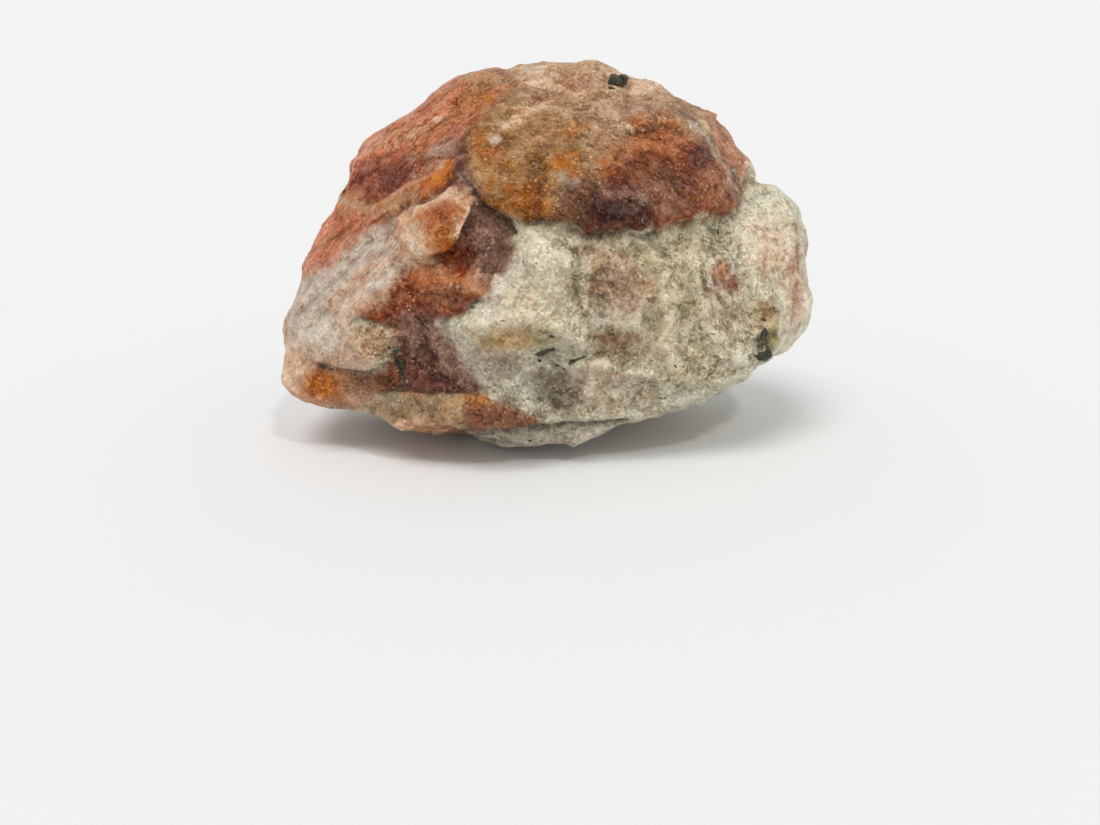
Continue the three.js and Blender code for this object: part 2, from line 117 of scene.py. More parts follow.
def fine_copy(node_object):
    """A welded copy of a node's mesh with every triangle cut into smaller ones."""
    work = bmesh.new()
    work.from_mesh(node_object.data)
    bmesh.ops.remove_doubles(work, verts=work.verts, dist=WELD)
    bmesh.ops.subdivide_edges(work, edges=work.edges, cuts=CUTS, use_grid_fill=True)
    bmesh.ops.triangulate(work, faces=work.faces)
    bmesh.ops.recalc_face_normals(work, faces=work.faces)
    mesh = bpy.data.meshes.new("sunstone_skin")
    work.to_mesh(mesh)
    work.free()
    mesh.materials.clear()
    return mesh


skin = fine_copy(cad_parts["sunstone"])
points = np.empty(len(skin.vertices) * 3)
skin.vertices.foreach_get("co", points)
points = points.reshape(-1, 3) / MM
ends = np.empty(len(skin.edges) * 2, dtype=np.int64)
skin.edges.foreach_get("vertices", ends)
ends = ends.reshape(-1, 2)
print("skin:", len(skin.vertices), "points,", len(skin.polygons), "faces")

# %% Smooth the old facets away
SMOOTHING = 9
INWARD, OUTWARD = 0.55, -0.57
neighbours = np.bincount(ends.ravel(), minlength=len(points)).astype(float)


def neighbour_mean(values):
    """The mean of each point's neighbours."""
    total = np.zeros_like(values)
    for axis in range(values.shape[1]):
        total[:, axis] = (
            np.bincount(ends[:, 0], values[ends[:, 1], axis], minlength=len(values))
            + np.bincount(ends[:, 1], values[ends[:, 0], axis], minlength=len(values))
        )
    return total / neighbours[:, None]


on_table = points[:, 2] < 0.02
table_points = points[on_table].copy()
for _ in range(SMOOTHING):
    for push in (INWARD, OUTWARD):
        points += push * (neighbour_mean(points) - points)
points[on_table, 2] = table_points[:, 2]


def put_back(mesh, places):
    """Writes the points into the mesh and gives its normals."""
    mesh.vertices.foreach_set("co", (places * MM).ravel())
    mesh.update()
    normals = np.empty(len(mesh.vertices) * 3)
    mesh.vertices.foreach_get("normal", normals)
    return normals.reshape(-1, 3)


normals = put_back(skin, points)
print("smoothed", SMOOTHING, "rounds")


# %% [markdown]
# Noise is what makes the rock look like rock. Three kinds are used. Swells are soft bumps of
# one size. Chips are shallow hollows that meet in sharp edges and each lean their own way, as
# feldspar breaks into little cleavage faces. Strands are swells drawn out in one direction, for
# the layered faces and the fibres. All of them are read at a point's own place, so they are the
# same in each run.

# %% Swells, chips and strands
CHIP_CURVE = 0.5


def swells(places, size, octaves=1, shift=0.0):
    """Soft noise, about -1 to 1, with swells of a size in millimetres."""
    return np.array([
        noise.fractal(place, 1.0, 2.0, octaves, noise_basis="PERLIN_ORIGINAL")
        for place in (places / size + shift).tolist()
    ])


def chips(places, size, shift=0.0):
    """Shallow chips that meet in sharp edges, each leaning its own way, about -0.5 to 0.5."""
    spots = (places / size + shift).tolist()
    near = [noise.voronoi(spot)[1] for spot in spots]
    centres = np.array([[tuple(middle) for middle in four] for four in near])
    leans = np.array([[tuple(noise.cell_vector(middle * 9.7)) for middle in four]
                      for four in near]) - 0.5
    offset = np.array(spots)[:, None] - centres
    heights = ((offset * leans).sum(2) + CHIP_CURVE * (offset ** 2).sum(2)).min(1)
    return heights - heights.mean()


def turned(places, degrees):
    """The places turned about the depth axis, so a slope in the front view lies level."""
    angle = math.radians(degrees)
    along = places[:, 0] * math.cos(angle) + places[:, 2] * math.sin(angle)
    across = -places[:, 0] * math.sin(angle) + places[:, 2] * math.cos(angle)
    return np.stack([along, places[:, 1], across], axis=1)


def strands(places, degrees, length, width, octaves=2, shift=0.0):
    """Swells drawn out along a slope of so many degrees."""
    return swells(turned(places, degrees) / [length, width, width], 1.0, octaves, shift)


broad = swells(points, 4.0, 2, 3.1)
medium = swells(points, 1.5, 2, 7.7)
fine = swells(points, 0.75, 1, 1.3)
huge_chips = chips(points, 4.6, 2.2)
large_chips = chips(points, 2.0, 4.4)
small_chips = chips(points, 0.95, 8.2)
print("noise ranges:", round(float(broad.min()), 2), round(float(broad.max()), 2))

# %% [markdown]
# Every layer, ledge and patch is named by an outline in the photograph's millimetres. One
# helper gives the distance to an outline, plus inside and minus outside. The same outlines
# lift the ledges and lay the colours, so colour and shape keep together. The points are first
# moved a little by noise, because no border in a rock is a clean curve.

# %% Distance to an outline and to a line
FAR = -9.0
FAR_AWAY = 99.0
LINE_REACH = 3.0


def rounded(outline, times=2):
    """An outline with its corners cut, so that it runs in curves."""
    corners = np.array(outline, float)
    for _ in range(times):
        following = np.roll(corners, -1, axis=0)
        corners = np.stack([corners * 0.75 + following * 0.25,
                            corners * 0.25 + following * 0.75], axis=1).reshape(-1, 2)
    return corners


def nearest_on_sides(spots, starts, stops):
    """The distance from each spot to the nearest of a set of sides."""
    best = np.full(len(spots), FAR_AWAY)
    for start, stop in zip(starts, stops):
        side = stop - start
        share = np.clip((spots - start) @ side / max(side @ side, 1e-9), 0, 1)
        away = np.hypot(*(spots - start - share[:, None] * side).T)
        best = np.minimum(best, away)
    return best


def within(spots, outline, reach=5.0):
    """How far inside an outline each spot is, in millimetres; outside is less than nothing."""
    corners = rounded(outline)
    low, high = corners.min(0) - reach, corners.max(0) + reach
    near = np.all((spots > low) & (spots < high), axis=1)
    chosen = spots[near]
    following = np.roll(corners, -1, axis=0)
    inside = np.zeros(len(chosen), bool)
    for start, stop in zip(corners, following):
        crosses = (start[1] > chosen[:, 1]) != (stop[1] > chosen[:, 1])
        rise = stop[1] - start[1] if abs(stop[1] - start[1]) > 1e-9 else 1e-9
        at = start[0] + (chosen[:, 1] - start[1]) * (stop[0] - start[0]) / rise
        inside ^= crosses & (chosen[:, 0] < at)
    away = nearest_on_sides(chosen, corners, following)
    result = np.full(len(spots), FAR)
    result[near] = np.where(inside, away, -away)
    return result


def along_line(spots, line):
    """The distance from each spot to a line."""
    bends = np.array(line, float)
    low, high = bends.min(0) - LINE_REACH, bends.max(0) + LINE_REACH
    near = np.all((spots > low) & (spots < high), axis=1)
    result = np.full(len(spots), FAR_AWAY)
    result[near] = nearest_on_sides(spots[near], bends[:-1], bends[1:])
    return result


# %% The front and the back as the eye sees them
BACK_WANDER = 1.8
RELIEF_WANDER = 0.25
wander_x = 0.75 * swells(points, 2.8, 3, 11.0) + 0.3 * swells(points, 0.9, 2, 5.0)
wander_z = 0.75 * swells(points, 2.8, 3, 17.0) + 0.3 * swells(points, 0.9, 2, 9.0)
wander = np.stack([wander_x, wander_z], axis=1)
front_spots = seen_from(EYE, points) + wander
back_spots = seen_from(BEHIND, points) + wander * BACK_WANDER
clean_spots = seen_from(EYE, points) + wander * RELIEF_WANDER

to_eye = EYE - points
to_eye /= np.linalg.norm(to_eye, axis=1)[:, None]
to_back = BEHIND - points
to_back /= np.linalg.norm(to_back, axis=1)[:, None]
faces_eye = smooth((normals * to_eye).sum(1), -0.05, 0.3)
faces_back = smooth((normals * to_back).sum(1), -0.05, 0.3)
print("share seen from the front:", round(float((faces_eye > 0.5).mean()), 2))

# %% [markdown]
# These are the outlines that the eye finds first: the red face, the ridge and the nodule on it,
# the round honey lump, the red-brown plate with its overhang, the pale lens, the shelf at the
# bottom, and the plate round the right end. They are measured from the photograph.

# %% Outlines of the main forms
RED_FACE = [(-6, 48.4), (-10.5, 50), (-14.5, 47.6), (-20, 44.5), (-27, 40.5), (-29, 36),
            (-27.8, 31.6), (-24.6, 31.1), (-21.6, 32.6), (-19.4, 33.9), (-15.6, 35.3),
            (-13, 36.9), (-11.6, 38.2), (-11, 40.2), (-9.6, 42), (-8, 43.6), (-5.6, 45.6),
            (-4.2, 46.3)]
LOWER_RED = [(-30, 31.6), (-24.6, 30.8), (-21.4, 32), (-20.4, 30.4), (-22.6, 28.2),
             (-25.6, 26), (-28.4, 23.2), (-30.6, 21.4), (-34.5, 20.2), (-36, 23), (-33, 29)]
RIDGE = [(-24.4, 31), (-21.5, 32.4), (-19.4, 33.8), (-15.6, 35.2), (-14, 36.6), (-12.2, 36.9),
         (-13.2, 34.8), (-14.5, 32.9), (-18.3, 31.4), (-21, 30.2), (-24.5, 28.5)]
NODULE = [(-20.8, 28.3), (-19.5, 29.8), (-17.7, 31.1), (-15.6, 32.2), (-13.4, 32.5),
          (-11.5, 32.3), (-10.2, 31.4), (-10.3, 29.5), (-12, 26), (-13.4, 24.7),
          (-16.7, 23.6), (-18.3, 23.2), (-19.8, 24.8), (-20.6, 26.6)]
HONEY_LUMP = [(-10, 41.4), (-11.3, 38.5), (-11.5, 36.6), (-10.9, 34.8), (-9.8, 31.9),
              (-7.3, 30.1), (-4.6, 28.6), (-3, 28.6), (-1.7, 29.3), (0.6, 29.6), (0.4, 31.4),
              (0.6, 33.6), (4.6, 34.4), (6, 38), (4, 42.6), (0, 44.3), (-4, 43.6), (-8.2, 42.6)]
PLATE = [(-1.7, 29.3), (1.2, 29), (3.4, 27.7), (5.1, 27.1), (9.9, 27.4), (12.6, 26.9),
         (14.7, 27.8), (19.7, 28.8), (21.8, 30), (25, 30.2), (25, 31.6), (24.1, 33.7),
         (22.7, 36.1), (20.5, 38.1), (16.9, 40.1), (14.5, 40.8), (12.1, 40.4), (9.8, 39.1),
         (5.6, 38.4), (4.6, 34.6), (0.6, 32)]
LENS = [(-36.5, 21), (-31, 21.7), (-27.6, 24.4), (-24.2, 27.6), (-21.4, 28.8), (-20.6, 26.4),
        (-19, 23.8), (-20.3, 22.5), (-20.5, 20.5), (-23.5, 19), (-27, 17.2), (-28, 14.5),
        (-27, 11), (-25, 9), (-26, 7.9), (-30, 7.9), (-33.5, 9.5), (-37, 12), (-37.5, 14.5)]
SHELF = [(-25, 3), (-23.2, 4.3), (-22.1, 5.1), (-20.4, 5.3), (-16.5, 4.4), (-13.7, 4.6),
         (-10.9, 5.1), (-9.2, 4.8), (-6.6, 3.3), (-2.5, 0.9), (0, -0.3), (-5, -1.1),
         (-11.9, -1.1), (-14, -4), (-22, -4), (-26, 0.8)]
END_PLATE = [(26, 33.5), (26.2, 30.6), (25.2, 25), (27, 19), (30, 13), (34, 10), (39, 14),
             (38, 28), (33, 36), (29, 36)]
TIP = [(-38, 12), (-33.5, 9.4), (-29.5, 7.8), (-25, 5.8), (-24.4, 3.2), (-30, 1.5),
       (-36, 3), (-39, 7)]
BACK_FACE = [(-23, 38), (-12, 44), (2, 45), (13, 41), (17, 34), (11, 30.5), (4, 27.5),
             (-5, 28.5), (-13, 25), (-20, 29)]
BACK_RIB = [(10, 29), (18, 32.5), (27, 27), (31, 19), (26, 13), (20, 15), (15, 21)]
BACK_BULGE = [(-12, 21), (-3, 25), (6, 23), (12, 17), (12, 11), (3, 8), (-8, 9), (-15, 13)]
BACK_HOLLOW = [(-31, 14), (-24, 19), (-16, 14), (-14, 7), (-21, 4.5), (-29, 7)]
BACK_SPLINTER = [(-29, 30), (-23, 31), (-17, 24), (-21, 20), (-28, 21), (-32, 24)]

# %% [markdown]
# A ledge is read by its edge: a crisp rim and a dark line of shadow under it. The solid has
# the ledges, but its faces are too wide for a crisp rim, and some of its steps are too steep.
# So the steep steps are eased first. Then each rim is lifted by a fraction of a millimetre
# towards the eye, narrow grooves are sunk along the cracks, and soft crests are raised.

# %% Ease the steps that are too steep
EASED = [  # line, how much the step is eased, half width in millimetres
    ([(-1.6, 29), (1.2, 28.7), (3.4, 27.4), (5.1, 26.8), (9.9, 27.1), (12.6, 26.6), (14.8, 27.5),
      (19.8, 28.5), (22, 29.8), (25, 30)], 0.5, 1.2),
    ([(3.6, 25), (4.4, 21), (4.6, 17), (5.2, 13)], 1.0, 1.6),
    ([(-4.2, 26.5), (-6, 22), (-7.6, 19.4), (-9.4, 17.5), (-13.4, 15.9), (-14.9, 14.2),
      (-12.6, 8.8), (-9.8, 5.6)], 0.8, 1.4),
    ([(26.2, 31), (25.3, 25), (27, 19), (30, 13), (33, 10.4)], 1.0, 1.8),
    ([(26.2, 31.4), (28.6, 33.2), (32, 33.6)], 0.6, 1.2),
    ([(-20.6, 26), (-20.2, 22.5), (-20.6, 19.5), (-23.4, 14.6), (-22, 10)], 0.9, 1.6),
    ([(-11.6, 39.4), (-11.8, 36.6), (-11, 34.4), (-10.3, 32.4)], 0.7, 1.0),
    ([(-11, 40), (-9, 42), (-8, 44), (-6, 46)], 0.8, 1.3),
    ([(-21, 28), (-20, 30), (-17.8, 31.4)], 0.5, 0.8),
    ([(-13, 35), (-14.6, 32.8), (-18.4, 31.3)], 0.5, 0.7),
    ([(-34, 12.5), (-30, 16.8), (-25.5, 20.8), (-21.5, 23.2)], 0.8, 1.6),
]
EASING = 30
EASE_STEP = 0.6
eased = np.zeros(len(points))
for line, amount, half_width in EASED:
    away = along_line(clean_spots, line)
    eased = np.maximum(eased, amount * np.exp(-(away / half_width) ** 2))
eased *= faces_eye
for _ in range(EASING):
    points += EASE_STEP * eased[:, None] * (neighbour_mean(points) - points)
normals = put_back(skin, points)
print("points eased:", int((eased > 0.3).sum()))

# %% Crisp rims
RIMS = [  # outline, how far its rim is lifted in millimetres, how wide the rim is
    (RIDGE, 0.2, 1.0), (NODULE, 0.25, 1.2), (HONEY_LUMP, 0.25, 1.4), (SHELF, 0.25, 1.2),
]
BACK_RIMS = [
    (BACK_FACE, 0.3, 1.6), (BACK_RIB, 0.15, 1.2), (BACK_BULGE, 0.1, 1.4),
    (BACK_SPLINTER, 0.25, 1.2),
]


def rim_lift(spots, rims):
    """How far each spot is lifted just inside the outlines, fading inwards."""
    lift = np.zeros(len(spots))
    for outline, height, width in rims:
        depth = within(spots, outline)
        lift += height * smooth(depth, -0.25, 0.3) * np.exp(-np.maximum(depth, 0) / width)
    return lift


print(len(RIMS), "rims in front and", len(BACK_RIMS), "behind")

# %% Cracks and shadow lines
CRACKS = [  # line, depth in millimetres, half width in millimetres
    ([(-10.4, 32.6), (-9.7, 31.2), (-7.4, 29.7), (-5.4, 28.6), (-4.6, 27.4)], 0.8, 0.35),
    ([(-11.7, 36.8), (-11.1, 34.6), (-10.3, 32.4)], 0.3, 0.3),
    ([(-10, 31.4), (-10, 29.4), (-11.6, 26.4), (-13.2, 24.6), (-15.6, 23.6)], 0.45, 0.35),
    ([(-12.6, 35.4), (-14.2, 32.9), (-17.4, 31.3)], 0.4, 0.35),
    ([(-24.6, 31.3), (-21.6, 32.7), (-19.5, 34.1), (-15.8, 35.5)], 0.35, 0.3),
    ([(3.4, 27.3), (5.1, 26.8), (9.9, 27.1), (12.6, 26.6), (14.8, 27.5)], 0.35, 0.3),
    ([(15, 27.6), (19.8, 28.5), (21.9, 29.7), (25, 29.9)], 0.15, 0.3),
    ([(19.8, 41), (21.4, 38.8), (23.3, 36.6), (24.7, 33.8), (25.5, 31.4), (25.6, 30)], 0.25, 0.25),
    ([(25.7, 31.2), (26.8, 31.8), (28.6, 32.8), (31, 31.9), (32.8, 29.6), (33.6, 26),
      (33.9, 20), (33.6, 15)], 0.25, 0.22),
    ([(-23.6, 4.6), (-22, 5.5), (-20.2, 5.7), (-16.5, 4.8), (-13.7, 5), (-10.9, 5.5),
      (-9, 5.1)], 0.5, 0.3),
    ([(-34, 8.9), (-31.4, 8.2), (-29.4, 7.7), (-25.8, 7.5), (-24, 8.2), (-21.6, 8.8)],
     0.3, 0.3),
    ([(-8.8, 18), (-10.6, 17), (-13.4, 16.2), (-15, 14.8)], 0.3, 0.3),
    ([(-8.4, -1.2), (-2.4, -0.6), (2.4, 0), (7.8, 0), (11, 0.4)], 0.7, 0.35),
    ([(3, 0.2), (8.6, 1.8), (12.4, 3.2), (18, 4.4), (24.4, 5.6)], 0.15, 0.4),
    ([(3.9, 24.6), (3.6, 21), (4.2, 17.6), (5.2, 14.4)], 0.3, 0.22),
    ([(0.8, 21.6), (2.4, 18), (4.2, 15)], 0.15, 0.25),
    ([(1.8, 22.4), (2.9, 19.4), (3.6, 17)], 0.2, 0.22),
    ([(-6.2, 47.9), (-4.8, 46.2), (-3.2, 45.2), (-1.6, 44.9), (0, 44.6)], 0.3, 0.3),
    ([(5.4, 44.6), (9, 45), (13.6, 44.6), (17.5, 43)], 0.25, 0.25),
    ([(5.4, 35.2), (7.2, 35.5), (8.6, 36.4), (9.4, 38)], 0.25, 0.22),
    ([(10.2, 40.2), (12.6, 40.6), (14.6, 41.1), (16.6, 40.6), (18.4, 39.2)], 0.3, 0.3),
    ([(20.4, 26.6), (22, 24), (23.8, 20.4), (25.6, 17.2)], 0.2, 0.22),
    ([(13.6, 26.4), (13, 22), (12.6, 18.4)], 0.15, 0.5),
    ([(-27.6, 15.4), (-24.4, 14.8), (-21.6, 14.2), (-20, 13)], 0.25, 0.35),
    ([(-27.2, 36.6), (-22, 39.8), (-17, 42.4), (-13.6, 44.9), (-11.6, 47.2)], 0.22, 0.25),
    ([(-25, 35.8), (-20, 38.2), (-16, 40.2), (-13, 42.6), (-10.4, 45.4)], 0.18, 0.25),
    ([(-26, 33.8), (-20, 36.4), (-15.6, 38.2), (-12.4, 40.2)], 0.16, 0.25),
    ([(-35, 16), (-31, 19.4), (-27, 23.2), (-24, 26.2)], 0.3, 0.4),
    ([(-34, 13.6), (-29.6, 17.6), (-25.4, 20.8), (-22.6, 22)], 0.25, 0.3),
    ([(-32.6, 24.6), (-28.6, 27), (-25, 29.6)], 0.3, 0.3),
]
CRESTS = [  # line, height in millimetres, half width in millimetres
    ([(-10.5, 14.9), (-6, 15.1), (-2, 14.9), (1.5, 13.8), (4.6, 11.8)], 0.9, 1.5),
    ([(2.6, 24), (2.2, 21), (2.9, 17.6), (3.9, 14.6)], 0.3, 0.8),
    ([(-34.6, 14.8), (-29.6, 18.8), (-25, 22.2), (-21.3, 23.8)], 0.4, 0.7),
    ([(-33, 12.2), (-29, 16), (-25.2, 19.2), (-21.6, 21)], 0.4, 0.8),
    ([(-26, 16.8), (-22, 19.2), (-17, 20.9), (-12, 20.6), (-9, 19.4)], 0.6, 1.6),
    ([(10.4, 38), (14, 38.8), (17.4, 38), (19.8, 36)], 0.35, 0.8),
    ([(14.4, 24), (16.6, 19), (16, 12), (18.6, 7)], 0.6, 1.3),
    ([(20, 25.6), (20.4, 20.6), (22, 14), (25, 9)], 0.5, 1.2),
    ([(-3, 8.6), (2, 8.9), (6, 8.8), (11, 8)], 0.35, 0.9),
    ([(-26.6, 35.8), (-21.4, 39), (-16.4, 41.6), (-13, 44), (-11, 46.4)], 0.15, 0.4),
    ([(-25.4, 33.2), (-19.6, 35.8), (-15, 37.4)], 0.12, 0.4),
]


def crack_depth(spots, cracks):
    """How deep each spot lies in the nearest of the lines; crests use it too, upwards."""
    depth = np.zeros(len(spots))
    for line, deep, half_width in cracks:
        depth = np.maximum(depth, deep * np.exp(-(along_line(spots, line) / half_width) ** 2))
    return depth


def ring(outline, out=0.35):
    """A closed line a little way outside an outline."""
    corners = rounded(outline)
    middle = corners.mean(0)
    ray = corners - middle
    moved = corners + ray / np.linalg.norm(ray, axis=1)[:, None] * out
    return np.vstack([moved, moved[:1]])


BACK_CRACKS = [
    (ring(BACK_FACE), 0.3, 0.4), (ring(BACK_RIB), 0.2, 0.4),
    (ring(BACK_BULGE), 0.15, 0.4), (ring(BACK_SPLINTER), 0.25, 0.4),
]
cracks_front = crack_depth(clean_spots, CRACKS) * faces_eye
cracks_back = crack_depth(back_spots, BACK_CRACKS) * faces_back
cracks = np.maximum(cracks_front, cracks_back)
front_lift = rim_lift(clean_spots, RIMS) + crack_depth(clean_spots, CRESTS)
front_lift *= faces_eye
back_lift = rim_lift(back_spots, BACK_RIMS) * faces_back
print("largest lift in mm:", round(float(front_lift.max()), 2))
print("cracked points:", int((cracks > 0.2).sum()))

# %% [markdown]
# The kinds of rock break in different ways. The red face is a pack of thin layers that end in
# steps running up to the right. The pale lens is fibrous. The honey lump is nearly glassy. The
# greenish cream rock is crumbly, with small cleavage faces. Each kind gets its share of the
# noises, and the shares fade into one another over about a millimetre.

# %% How each kind of rock breaks
LAYER_SLOPE = 41.0
FIBRE_SLOPE = 46.0
PLATE_SLOPE = -28.0


def share_of(outline, soft=0.8, spots=front_spots, shown=faces_eye):
    """How much each point belongs to the rock inside an outline, from nothing to one."""
    return smooth(within(spots, outline), -soft, soft) * shown


layered = np.maximum.reduce([
    share_of(RED_FACE), share_of(LOWER_RED), 0.6 * share_of(RIDGE),
    share_of(BACK_FACE, 0.8, back_spots, faces_back),
])
fibrous = np.maximum.reduce([
    share_of(LENS), 0.6 * share_of(END_PLATE), share_of(BACK_RIB, 0.8, back_spots, faces_back),
])
platy = share_of(PLATE)
glassy = np.maximum.reduce([
    share_of(HONEY_LUMP), 0.8 * share_of(NODULE), 0.5 * share_of(RIDGE),
    0.7 * share_of(BACK_SPLINTER, 0.8, back_spots, faces_back),
])
crumbly = np.clip(1 - layered - fibrous - platy - glassy, 0, 1)

layers = strands(points, LAYER_SLOPE, 7.0, 0.9, 2, 2.0)
fibres = strands(points, FIBRE_SLOPE, 8.0, 0.7, 2, 4.0)
layer_chips = chips(turned(points, LAYER_SLOPE) / [6.0, 1.7, 1.35], 1.0, 3.0)
fibre_chips = chips(turned(points, FIBRE_SLOPE) / [7.5, 1.5, 1.15], 1.0, 7.0)
plate_chips = chips(turned(points, PLATE_SLOPE) / [4.5, 1.7, 1.4], 1.0, 5.0)

relief = (
    0.18 * broad
    + crumbly * (1.35 * huge_chips + 0.48 * large_chips + 0.10 * small_chips)
    + layered * (0.4 * huge_chips + 0.36 * layer_chips + 0.12 * layers + 0.06 * small_chips)
    + fibrous * (0.5 * huge_chips + 0.42 * fibre_chips + 0.08 * fibres + 0.08 * small_chips)
    + platy * (0.8 * huge_chips + 0.4 * plate_chips + 0.3 * large_chips + 0.12 * small_chips)
    + glassy * (0.8 * huge_chips + 0.35 * large_chips + 0.06 * small_chips)
)
print("relief in mm:", round(float(relief.min()), 2), "to", round(float(relief.max()), 2))

# %% Move the skin
BOX_SLACK = 0.3
HOLLOW_SHADING_SCALE = 0.035
lifted = smooth(points[:, 2], 0.1, 1.4)
push_out = (relief - cracks)[:, None] * normals
push_out += front_lift[:, None] * to_eye + back_lift[:, None] * to_back
shaped = points + push_out * lifted[:, None]
box_low, box_high = np.array(cad_box) / MM
shaped = np.clip(shaped, box_low - [BOX_SLACK, BOX_SLACK, 0], box_high + BOX_SLACK)
normals = put_back(skin, shaped)

# How hollow each point lies; the material paints it as shade in the hollows and as highlight on
# the crests.
hollow_shading = ((neighbour_mean(shaped) - shaped) * normals).sum(1)
for _ in range(2):
    hollow_shading = neighbour_mean(hollow_shading[:, None])[:, 0]
hollow_shading = hollow_shading / HOLLOW_SHADING_SCALE
print("hollow range:", round(float(hollow_shading.min()), 2), round(float(hollow_shading.max()), 2))

# %% [markdown]
# Each kind of rock has three tones: a dark one, its main one, and a light one. Pushing
# towards the dark one in the hollows is painted shade, and towards the light one on the crests
# is painted highlight. The tones are laid on the points of the skin by the outlines, one over
# another, as a painter lays thin coats. The material then goes from tone to tone with noise,
# so no patch is one flat colour. The tones are written as screen values from 0 to 255.

# %% Tones of the kinds of rock
TONES = {
    "pale rock": [(113, 103, 77), (190, 180, 151), (232, 223, 201)],
    "green rock": [(110, 101, 67), (192, 174, 134), (227, 212, 173)],
    "grey rock": [(132, 127, 108), (186, 181, 159), (221, 220, 199)],
    "bright rock and painted light": [(185, 174, 141), (222, 208, 177), (245, 240, 215)],
    "rose rock": [(132, 98, 73), (182, 142, 105), (228, 194, 159)],
    "brown rock": [(84, 54, 22), (123, 82, 38), (160, 114, 59)],
    "rose brown": [(42, 15, 4), (66, 28, 7), (96, 46, 16)],
    "ochre": [(137, 94, 34), (174, 127, 52), (206, 164, 79)],
    "olive": [(90, 86, 36), (140, 132, 68), (182, 174, 118)],
    "lens white": [(127, 87, 63), (174, 129, 100), (201, 156, 126)],
    "lens grey": [(133, 110, 92), (178, 148, 131), (203, 173, 156)],
    "milk": [(189, 170, 148), (223, 208, 188), (235, 226, 209)],
    "peach": [(184, 139, 106), (234, 195, 160), (248, 223, 196)],
    "tan": [(129, 90, 56), (170, 127, 87), (205, 168, 124)],
    "grey tan": [(115, 82, 52), (161, 118, 82), (200, 156, 116)],
    "red": [(111, 47, 32), (176, 92, 58), (232, 141, 100)],
    "red edge": [(145, 79, 55), (202, 122, 91), (240, 173, 136)],
    "pink": [(143, 83, 56), (186, 119, 87), (209, 155, 121)],
    "orange": [(118, 48, 6), (170, 81, 22), (204, 115, 42)],
    "bright orange": [(122, 58, 8), (176, 96, 18), (216, 140, 48)],
    "red orange": [(110, 56, 26), (171, 101, 57), (211, 149, 98)],
    "orange brown": [(74, 26, 4), (132, 54, 7), (185, 91, 19)],
    "honey": [(74, 43, 10), (121, 76, 25), (169, 124, 56)],
    "dark honey": [(61, 25, 4), (109, 50, 4), (155, 87, 7)],
    "pale honey": [(135, 99, 58), (187, 143, 92), (234, 195, 140)],
    "gold": [(127, 82, 40), (189, 137, 90), (227, 188, 141)],
    "purple": [(36, 12, 8), (61, 25, 19), (99, 49, 40)],
    "purple grey": [(97, 68, 56), (151, 111, 91), (206, 169, 143)],
    "red purple": [(70, 28, 17), (108, 52, 35), (151, 84, 61)],
    "plate": [(62, 26, 8), (110, 49, 20), (160, 86, 42)],
    "plate red": [(61, 19, 9), (106, 44, 25), (143, 71, 43)],
    "plate top": [(99, 47, 19), (159, 82, 41), (203, 129, 75)],
    "plate purple": [(21, 4, 4), (43, 9, 4), (72, 26, 4)],
    "smoky": [(73, 44, 27), (108, 68, 43), (143, 99, 68)],
    "shelf tan": [(101, 77, 48), (143, 113, 79), (177, 149, 114)],
    "shelf rose": [(69, 31, 14), (110, 54, 29), (146, 84, 47)],
    "red lip": [(124, 80, 60), (196, 145, 106), (246, 208, 169)],
    "belly": [(125, 116, 97), (177, 165, 147), (217, 207, 186)],
    "crack and painted shade": [(20, 14, 9), (42, 30, 21), (72, 56, 42)],
    "dark green": [(20, 23, 12), (44, 48, 28), (86, 88, 58)],
}


def linear(tone):
    """A screen value from 0 to 255 as the amount of light that it stands for."""
    share = np.array(tone) / 255
    return np.where(share <= 0.04045, share / 12.92, ((share + 0.055) / 1.055) ** 2.4)


BREAK_UP = 1.4


class Coat:
    """Three tones for each point of the skin, laid one patch over another."""

    def __init__(self, spots, ground, melt=1.0):
        """Starts from one kind of rock; melt widens the soft border of every patch."""
        self.spots = spots
        self.melt = melt
        self.coats = 0
        self.tones = np.repeat(linear(TONES[ground])[None], len(spots), axis=0)

    def lay(self, name, strength, mask):
        """Lays one coat; where it is thin it breaks up, and each coat breaks up its own way."""
        self.coats += 1
        breaks = math.cos(self.coats) * medium + math.sin(self.coats) * fine
        share = np.clip(strength * mask, 0, 1) ** np.exp(-BREAK_UP * breaks)
        share = share[:, None, None]
        self.tones = self.tones * (1 - share) + linear(TONES[name])[None] * share

    def patch(self, name, strength, soft, outline):
        """A patch inside an outline, with a soft border."""
        edge = soft * self.melt
        self.lay(name, strength, smooth(within(self.spots, outline), -edge, edge))

    def spot(self, name, strength, soft, middle, size, slope=0):
        """An oval patch: its middle, its half width and half height, and its slope."""
        angle = math.radians(slope)
        offset = self.spots - np.array(middle)
        along = offset[:, 0] * math.cos(angle) + offset[:, 1] * math.sin(angle)
        across = -offset[:, 0] * math.sin(angle) + offset[:, 1] * math.cos(angle)
        inside = (1 - np.hypot(along / size[0], across / size[1])) * min(size)
        self.lay(name, strength, smooth(inside, -soft, soft))

    def line(self, name, strength, half_width, bends):
        """A soft line along a few bends."""
        away = along_line(self.spots, bends)
        self.lay(name, strength, np.exp(-(away / half_width) ** 2))


print(len(TONES), "kinds of rock")

# %% [markdown]
# The front is laid from the photograph. First comes the greenish cream rock with its rose and
# brown patches, then the bands over it from the back to the front, as they overlap.

